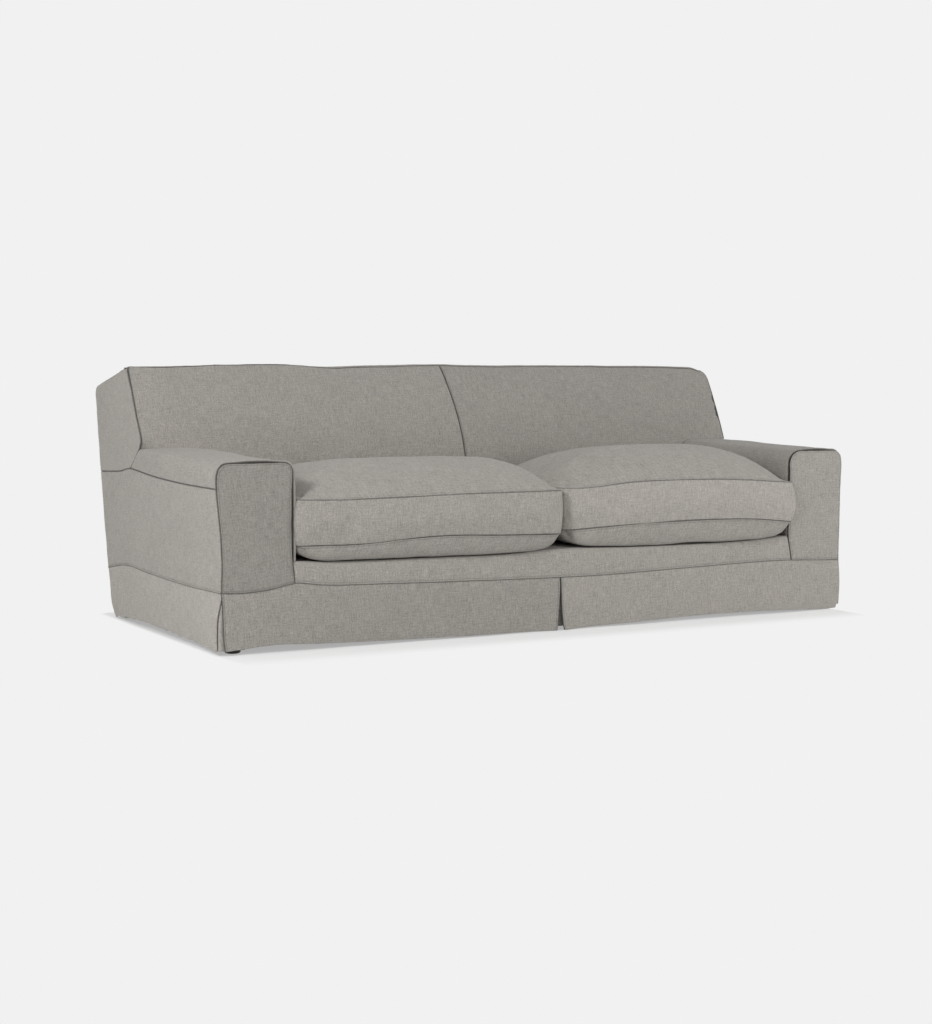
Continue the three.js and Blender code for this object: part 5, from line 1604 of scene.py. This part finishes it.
def make_core(name, side, body, cover):
    """Makes a cushion's foam core, tucked under its cover."""
    points, quads, _, _ = cushion_net(side, CORE_STEP, inset=CORE_INSET)
    points[:, 2] = np.maximum(points[:, 2], DECK + CORE_LIFT)
    core = merged(f"cushion_core_{name}", points, quads)
    tuck(core.data, BVHTree.FromObject(cover, bpy.context.evaluated_depsgraph_get()), CORE_DEPTH)
    core.data.materials.append(material("foam", foam_finish))
    finish_piece(core, body, [f"{body}_core"])


# Padding under the cover


def tuck(mesh, cover, depth):
    """Moves the points of a pad that lie less than a depth under its cover, or outside it, inwards."""
    rounds = 7
    search_reach = 0.05
    deep_enough = -0.9 * depth
    points = coordinates(mesh)
    centre = points.mean(0)
    late = range(len(points))
    for turn in range(rounds):
        found = []
        for k in late:
            place, normal, _, _ = cover.find_nearest(points[k], search_reach)
            if place is not None and (Vector(points[k]) - place).dot(normal) > deep_enough:
                found.append(k)
                inwards = (centre - points[k]) / np.linalg.norm(centre - points[k])
                points[k] = np.array(place - normal * depth) if turn == 0 else points[k] + inwards * depth
        late = found
    set_coordinates(mesh, points)


def make_padding(sizes):
    """Foam pads on an even net, tucked in where the sewn cover lies deeper than the plain pad."""
    foam = material("foam", foam_finish)
    cover = BVHTree.FromPolygons(
        np.concatenate([points for points, _ in cover_nets]).tolist(),
        np.concatenate([cells for _, cells in cover_nets]).tolist())
    depsgraph = bpy.context.evaluated_depsgraph_get()
    for node, net in PADS.items():
        source = linked(f"{node}_shape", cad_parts[node].data.copy())
        even = source.modifiers.new("Even net", "REMESH")
        even.mode = "VOXEL"
        even.voxel_size = net
        depsgraph.update()
        mesh = bpy.data.meshes.new_from_object(source.evaluated_get(depsgraph))
        bpy.data.objects.remove(source)
        set_coordinates(mesh, coordinates(mesh) - coordinates(mesh, "normal") * PAD_SHRINK)
        tuck(mesh, cover, sizes.tuck)
        mesh.materials.clear()
        mesh.materials.append(foam)
        mesh.shade_smooth()
        piece = linked(f"{node}_foam", mesh)
        finish_piece(piece, "sofa", [node])


# Hard parts


def make_frame_finishes():
    """Gives the wood, the springs, the webbing and the zip tapes their finishes."""
    long_wood = material("beech along X", wood_finish)
    deep_wood = material("beech along Y", wood_finish, (60.0, 4.0, 60.0))
    tall_wood = material("beech upright", wood_finish, (60.0, 60.0, 4.0))
    steel = material("spring steel", steel_finish)
    webbing = material("elastic webbing", webbing_finish)
    for node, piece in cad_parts.items():
        if "rib" in node or "arm_front_board" in node or "corner_block" in node:
            chosen = tall_wood
        elif "side_rail" in node or "centre_rail" in node or "arm_top_board" in node:
            chosen = deep_wood
        elif "rail" in node or "board" in node:
            chosen = long_wood
        elif "spring" in node:
            chosen = steel
        elif "webbing" in node:
            chosen = webbing
        elif "zip" in node:
            chosen = material("zip tape", webbing_finish)
        else:
            continue
        piece.data.materials.clear()
        piece.data.materials.append(chosen)


def make_feet():
    """Turns the four feet from their outline."""
    turns = 56
    angle = np.arange(turns) * 2 * math.pi / turns
    ring = np.stack([np.cos(angle), np.sin(angle)], 1)
    here = np.arange(turns)
    onward = (here + 1) % turns
    for node in [f"foot_{row}_{name}" for row in ("front", "rear") for name in SIDES]:
        low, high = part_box(node)
        centre = (low + high) / 2
        centre.x -= math.copysign(FOOT_SHIFT, centre.x) if "front" in node else 0
        radius = (high.x - low.x) / 2
        tall = high.z - low.z
        outline = [(radius * share, z) for share, z in FOOT_LOWER]
        outline += [(radius * share, tall + z) for share, z in FOOT_UPPER]
        fine = along(outline)(np.linspace(0, 1, 60))
        points = [np.array([[centre.x, centre.y, low.z]])]
        for r, z in fine[1:-1]:
            level = np.full(turns, low.z + z)
            points.append(np.c_[centre.x + ring[:, 0] * r, centre.y + ring[:, 1] * r, level])
        points.append(np.array([[centre.x, centre.y, low.z + tall]]))
        points = np.concatenate(points)
        faces = np.stack([np.zeros(turns, int), 1 + onward, 1 + here], 1).tolist()
        for base in range(1, 1 + (len(fine) - 3) * turns, turns):
            above = base + turns
            faces += np.stack([base + here, base + onward, above + onward, above + here], 1).tolist()
        last = 1 + (len(fine) - 3) * turns
        faces += np.stack([last + here, last + onward, np.full(turns, len(points) - 1)], 1).tolist()
        foot = mesh_object(f"{node}_turned", points, faces)
        foot.data.materials.append(material("black lacquer", lacquer_finish))
        finish_piece(foot, "sofa", [node])


# Stitches and zips


def row_tree(name, finish):
    """Geometry Nodes: one small rounded piece, a stitch or a zip tooth, at each step along the lines."""
    tree = bpy.data.node_groups.new(name, "GeometryNodeTree")
    face = tree.interface
    face.new_socket("Geometry", in_out="INPUT", socket_type="NodeSocketGeometry")
    for label, value in (("Length", 0.003), ("Step", 0.0044), ("Width", 0.0006)):
        socket = face.new_socket(label, in_out="INPUT", socket_type="NodeSocketFloat")
        socket.default_value = value
    face.new_socket("Geometry", in_out="OUTPUT", socket_type="NodeSocketGeometry")
    new = tree.nodes.new
    link = tree.links.new
    start, end = new("NodeGroupInput"), new("NodeGroupOutput")
    resample = new("GeometryNodeResampleCurve")
    resample.mode = "LENGTH"
    capsule = new("GeometryNodeMeshUVSphere")
    capsule.inputs["Segments"].default_value = 6
    capsule.inputs["Rings"].default_value = 4
    capsule.inputs["Radius"].default_value = 0.5
    size = new("ShaderNodeCombineXYZ")
    turn = new("FunctionNodeAlignRotationToVector")
    turn.axis = "X"
    tangent = new("GeometryNodeInputTangent")
    place = new("GeometryNodeInstanceOnPoints")
    realize = new("GeometryNodeRealizeInstances")
    paint = new("GeometryNodeSetMaterial")
    paint.inputs["Material"].default_value = finish
    link(start.outputs["Geometry"], resample.inputs["Curve"])
    link(start.outputs["Step"], resample.inputs["Length"])
    link(resample.outputs["Curve"], place.inputs["Points"])
    link(capsule.outputs["Mesh"], place.inputs["Instance"])
    link(tangent.outputs[0], turn.inputs["Vector"])
    link(turn.outputs[0], place.inputs["Rotation"])
    link(start.outputs["Length"], size.inputs["X"])
    link(start.outputs["Width"], size.inputs["Y"])
    link(start.outputs["Width"], size.inputs["Z"])
    link(size.outputs[0], place.inputs["Scale"])
    link(place.outputs[0], realize.inputs[0])
    link(realize.outputs[0], paint.inputs["Geometry"])
    link(paint.outputs[0], end.inputs[0])
    return tree


def set_row(name, lines, tree, amounts):
    """Sets the tree's small pieces along the lines, as one plain mesh."""
    curve = bpy.data.curves.new(f"lines {name}", "CURVE")
    curve.dimensions = "3D"
    for line in lines:
        spline = curve.splines.new("POLY")
        spline.points.add(len(line) - 1)
        spline.points.foreach_set("co", np.c_[line, np.ones(len(line))].astype(np.float32).ravel())
    path = linked(f"lines_{name}", curve)
    row = path.modifiers.new("Row", "NODES")
    row.node_group = tree
    sockets = {item.name: item.identifier for item in tree.interface.items_tree if item.in_out == "INPUT"}
    for label, value in amounts.items():
        row[sockets[label]] = value
    depsgraph = bpy.context.evaluated_depsgraph_get()
    mesh = bpy.data.meshes.new_from_object(path.evaluated_get(depsgraph))
    bpy.data.objects.remove(path)
    return linked(name, mesh)


def make_stitches(sizes):
    """Sews the rows of top stitches beside the lipped seams."""
    tree = row_tree("Row of stitches", material("sewing thread", thread_finish))
    amounts = {"Length": sizes.stitch, "Step": sizes.stitch + sizes.stitch_gap, "Width": sizes.thread}
    finish_piece(set_row("stitches_sofa", stitch_lines, tree, amounts), "sofa", [])


def make_zips():
    """Sets the teeth along the middle of each cushion's zip, and its pull."""
    tree = row_tree("Row of zip teeth", material("zip metal", steel_finish))
    for name in SIDES:
        body = f"seat_cushion_{name}"
        low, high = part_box(f"{body}_zip")
        middle = (low.z + high.z) / 2
        teeth = [(low.x + ZIP_MARGIN, high.y, middle), (high.x - ZIP_MARGIN, high.y, middle)]
        pull = [(high.x - PULL_INSET, high.y + PULL_LIFT, middle - down) for down in PULL_ENDS]
        finish_piece(set_row(f"zip_teeth_{name}", [teeth], tree, ZIP_TOOTH), body, [])
        finish_piece(set_row(f"zip_pull_{name}", [pull], tree, ZIP_PULL), body, [])


# The stage


def turned_to(thing, way):
    """Turns a camera or a lamp to look along a way."""
    thing.rotation_mode = "QUATERNION"
    thing.rotation_quaternion = way.to_track_quat("-Z", "Y")


def make_camera(scene):
    """Sets the camera of the photo."""
    camera = linked("Camera", bpy.data.cameras.new("Camera"))
    camera.data.sensor_width = CAMERA_SENSOR
    camera.data.lens = CAMERA_LENS
    camera.data.clip_end = 500
    camera.location = CAMERA_PLACE
    flat = math.cos(CAMERA_PITCH)
    ahead = (math.sin(CAMERA_YAW) * flat, math.cos(CAMERA_YAW) * flat, -math.sin(CAMERA_PITCH))
    turned_to(camera, Vector(ahead))
    scene.camera = camera


def make_world(scene):
    """Soft light from all around, behind which the camera sees the backdrop."""
    world = bpy.data.worlds.new("Studio")
    scene.world = world
    world.use_nodes = True
    tree = world.node_tree
    link = tree.links.new
    seen = tree.nodes.new("ShaderNodeBackground")
    seen.inputs["Color"].default_value = (*scene.sofa_colours.backdrop, 1)
    light = tree.nodes["Background"]
    light.inputs["Color"].default_value = (1.0, 1.0, 1.0, 1)
    light.inputs["Strength"].default_value = ROOM_LIGHT
    ray = tree.nodes.new("ShaderNodeLightPath")
    mix = tree.nodes.new("ShaderNodeMixShader")
    either = tree.nodes.new("ShaderNodeMath")
    either.operation = "MAXIMUM"
    link(ray.outputs["Is Glossy Ray"], either.inputs[0])
    link(ray.outputs["Is Transmission Ray"], either.inputs[1])
    any_of = tree.nodes.new("ShaderNodeMath")
    any_of.operation = "MAXIMUM"
    link(ray.outputs["Is Camera Ray"], any_of.inputs[0])
    link(either.outputs[0], any_of.inputs[1])
    link(any_of.outputs[0], mix.inputs[0])
    link(light.outputs[0], mix.inputs[1])
    link(seen.outputs[0], mix.inputs[2])
    link(mix.outputs[0], tree.nodes["World Output"].inputs[0])


def make_lamps():
    """Three soft round lights."""
    for name, place, size, power in LAMPS:
        panel = bpy.data.lights.new(name, "AREA")
        panel.shape = "DISK"
        panel.size = size
        panel.energy = power
        lamp = linked(name, panel)
        lamp.location = place
        turned_to(lamp, Vector(LAMP_TARGET) - Vector(place))


def make_floor(colours):
    """A floor seen in an even tone, apart from its own shading close to the sofa."""
    size = 120.0
    corners = np.array([[-size, -size, 0], [size, -size, 0], [size, size, 0], [-size, size, 0]])
    floor = mesh_object("Floor", corners, [[0, 1, 2, 3]])
    paint = Finish("studio floor")

    def vectors(operation, *values):
        return paint.add("ShaderNodeVectorMath", dict(enumerate(values)), operation=operation).outputs

    place = object_place(paint)
    grain = paint.sums("ADD", paint.around(paint.noise(place, 300.0), 0.004), 1.0)
    paint.shader.inputs["Specular IOR Level"].default_value = 0.0
    tint = paint.tinted(tuple(colours.floor), grain)
    floor.data.materials.append(paint.shade(Base_Color=tint, Roughness=1.0))
    glow = paint.add("ShaderNodeEmission", {"Color": (*colours.floor_seen, 1)})
    rays = paint.add("ShaderNodeLightPath").outputs
    mirrored = paint.sums("MAXIMUM", rays["Is Glossy Ray"], rays["Is Transmission Ray"])
    seen = paint.sums("MAXIMUM", rays["Is Camera Ray"], mirrored)
    away = vectors("ADD", place, (-SHADED_CENTRE[0], -SHADED_CENTRE[1], 0.0))[0]
    away = vectors("ABSOLUTE", away)[0]
    away = vectors("SUBTRACT", away, (HALF_WIDTH - SHADED_INSET[0], -FRONT - SHADED_INSET[1], 0.0))[0]
    away = vectors("MAXIMUM", away, (0.0, 0.0, 0.0))[0]
    parts = paint.add("ShaderNodeSeparateXYZ", {0: place}).outputs
    to_right = paint.sums("GREATER_THAN", parts[0], 0.0)
    to_rear = paint.sums("GREATER_THAN", parts[1], 0.0)
    squeeze = paint.add("ShaderNodeCombineXYZ", {
        "X": paint.sums("ADD", paint.sums("MULTIPLY", to_right, SHADED_RIGHT), SHADED_SIDES),
        "Y": paint.sums("ADD", paint.sums("MULTIPLY", to_rear, SHADED_REAR), 1.0), "Z": 1.0}).outputs[0]
    far = vectors("LENGTH", vectors("MULTIPLY", away, squeeze)[0])["Value"]
    near = paint.add("ShaderNodeMapRange", {"Value": far, **SHADED_FLOOR},
                     interpolation_type="SMOOTHSTEP").outputs["Result"]
    share = paint.sums("MULTIPLY", seen, paint.sums("SUBTRACT", 1.0, near))
    both = paint.add("ShaderNodeMixShader", {"Fac": share, 1: paint.shader.outputs[0], 2: glow.outputs[0]})
    paint.put(paint.tree.nodes["Material Output"].inputs["Surface"], both.outputs[0])


def make_stage():
    """Sets the camera, the light and the floor."""
    scene = bpy.context.scene
    scene.view_settings.view_transform = "Standard"
    make_camera(scene)
    make_world(scene)
    make_lamps()
    make_floor(scene.sofa_colours)


# Operators


class SOFA_OT_stage(bpy.types.Operator):
    """Set up the camera, the floor and the soft light"""

    bl_idname = "sofa.stage"
    bl_label = "Stage"
    bl_options = {"REGISTER", "UNDO"}

    def execute(self, context):
        make_stage()
        return {"FINISHED"}


class SOFA_OT_frame(bpy.types.Operator):
    """Give the wood, springs and webbing their finishes"""

    bl_idname = "sofa.frame"
    bl_label = "Frame finishes"
    bl_options = {"REGISTER", "UNDO"}

    def execute(self, context):
        make_frame_finishes()
        return {"FINISHED"}


class SOFA_OT_feet(bpy.types.Operator):
    """Turn the four black feet"""

    bl_idname = "sofa.feet"
    bl_label = "Feet"
    bl_options = {"REGISTER", "UNDO"}

    def execute(self, context):
        make_feet()
        return {"FINISHED"}


class SOFA_OT_back(bpy.types.Operator):
    """Sew the cover of the back"""

    bl_idname = "sofa.back"
    bl_label = "Back"
    bl_options = {"REGISTER", "UNDO"}

    def execute(self, context):
        make_back(context.scene.sofa_sizes)
        return {"FINISHED"}


class SOFA_OT_arms(bpy.types.Operator):
    """Sew the cover of the two arms"""

    bl_idname = "sofa.arms"
    bl_label = "Arms"
    bl_options = {"REGISTER", "UNDO"}

    def execute(self, context):
        make_arms(context.scene.sofa_sizes)
        return {"FINISHED"}


class SOFA_OT_deck(bpy.types.Operator):
    """Sew the seat deck and the band below it"""

    bl_idname = "sofa.deck"
    bl_label = "Seat deck"
    bl_options = {"REGISTER", "UNDO"}

    def execute(self, context):
        make_deck(context.scene.sofa_sizes)
        return {"FINISHED"}


class SOFA_OT_skirt(bpy.types.Operator):
    """Hang the skirt and its kick pleats"""

    bl_idname = "sofa.skirt"
    bl_label = "Skirt"
    bl_options = {"REGISTER", "UNDO"}

    def execute(self, context):
        make_skirt(context.scene.sofa_sizes)
        return {"FINISHED"}


class SOFA_OT_padding(bpy.types.Operator):
    """Make the foam pads under the cover"""

    bl_idname = "sofa.padding"
    bl_label = "Padding"
    bl_options = {"REGISTER", "UNDO"}

    def execute(self, context):
        make_padding(context.scene.sofa_sizes)
        return {"FINISHED"}


class SOFA_OT_cushions(bpy.types.Operator):
    """Fill and sew the two seat cushions"""

    bl_idname = "sofa.cushions"
    bl_label = "Seat cushions"
    bl_options = {"REGISTER", "UNDO"}

    def execute(self, context):
        make_cushions(context.scene.sofa_sizes)
        return {"FINISHED"}


class SOFA_OT_zips(bpy.types.Operator):
    """Set the teeth and pulls of the cushions' zips"""

    bl_idname = "sofa.zips"
    bl_label = "Zips"
    bl_options = {"REGISTER", "UNDO"}

    def execute(self, context):
        make_zips()
        return {"FINISHED"}


class SOFA_OT_stitches(bpy.types.Operator):
    """Sew the rows of top stitches"""

    bl_idname = "sofa.stitches"
    bl_label = "Stitches"
    bl_options = {"REGISTER", "UNDO"}

    def execute(self, context):
        make_stitches(context.scene.sofa_sizes)
        return {"FINISHED"}


OPERATORS = [
    SOFA_OT_stage, SOFA_OT_frame, SOFA_OT_feet, SOFA_OT_back, SOFA_OT_arms,
    SOFA_OT_deck, SOFA_OT_skirt, SOFA_OT_padding, SOFA_OT_cushions,
    SOFA_OT_zips, SOFA_OT_stitches,
]


class SOFA_PT_panel(bpy.types.Panel):
    """Lists the steps that dress the sofa"""

    bl_label = "Sofa"
    bl_idname = "SOFA_PT_panel"
    bl_space_type = "VIEW_3D"
    bl_region_type = "UI"
    bl_category = "Sofa"

    def draw(self, context):
        for item in OPERATORS:
            self.layout.operator(item.bl_idname)
        for group in (context.scene.sofa_sizes, context.scene.sofa_colours):
            box = self.layout.box()
            for key in group.bl_rna.properties.keys():
                if key not in ("rna_type", "name"):
                    box.prop(group, key)


CLASSES = [SofaSizes, SofaColours, *OPERATORS, SOFA_PT_panel]


def register():
    """Adds the classes, and the sizes and colours of the scene."""
    for item in CLASSES:
        bpy.utils.register_class(item)
    bpy.types.Scene.sofa_sizes = bpy.props.PointerProperty(type=SofaSizes)
    bpy.types.Scene.sofa_colours = bpy.props.PointerProperty(type=SofaColours)


def unregister():
    """Takes them away again."""
    del bpy.types.Scene.sofa_sizes
    del bpy.types.Scene.sofa_colours
    for item in reversed(CLASSES):
        bpy.utils.unregister_class(item)


def main():
    """Runs every step in order."""
    register()
    for item in OPERATORS:
        group, step = item.bl_idname.split(".")
        getattr(getattr(bpy.ops, group), step)()


if __name__ == "__main__":
    main()
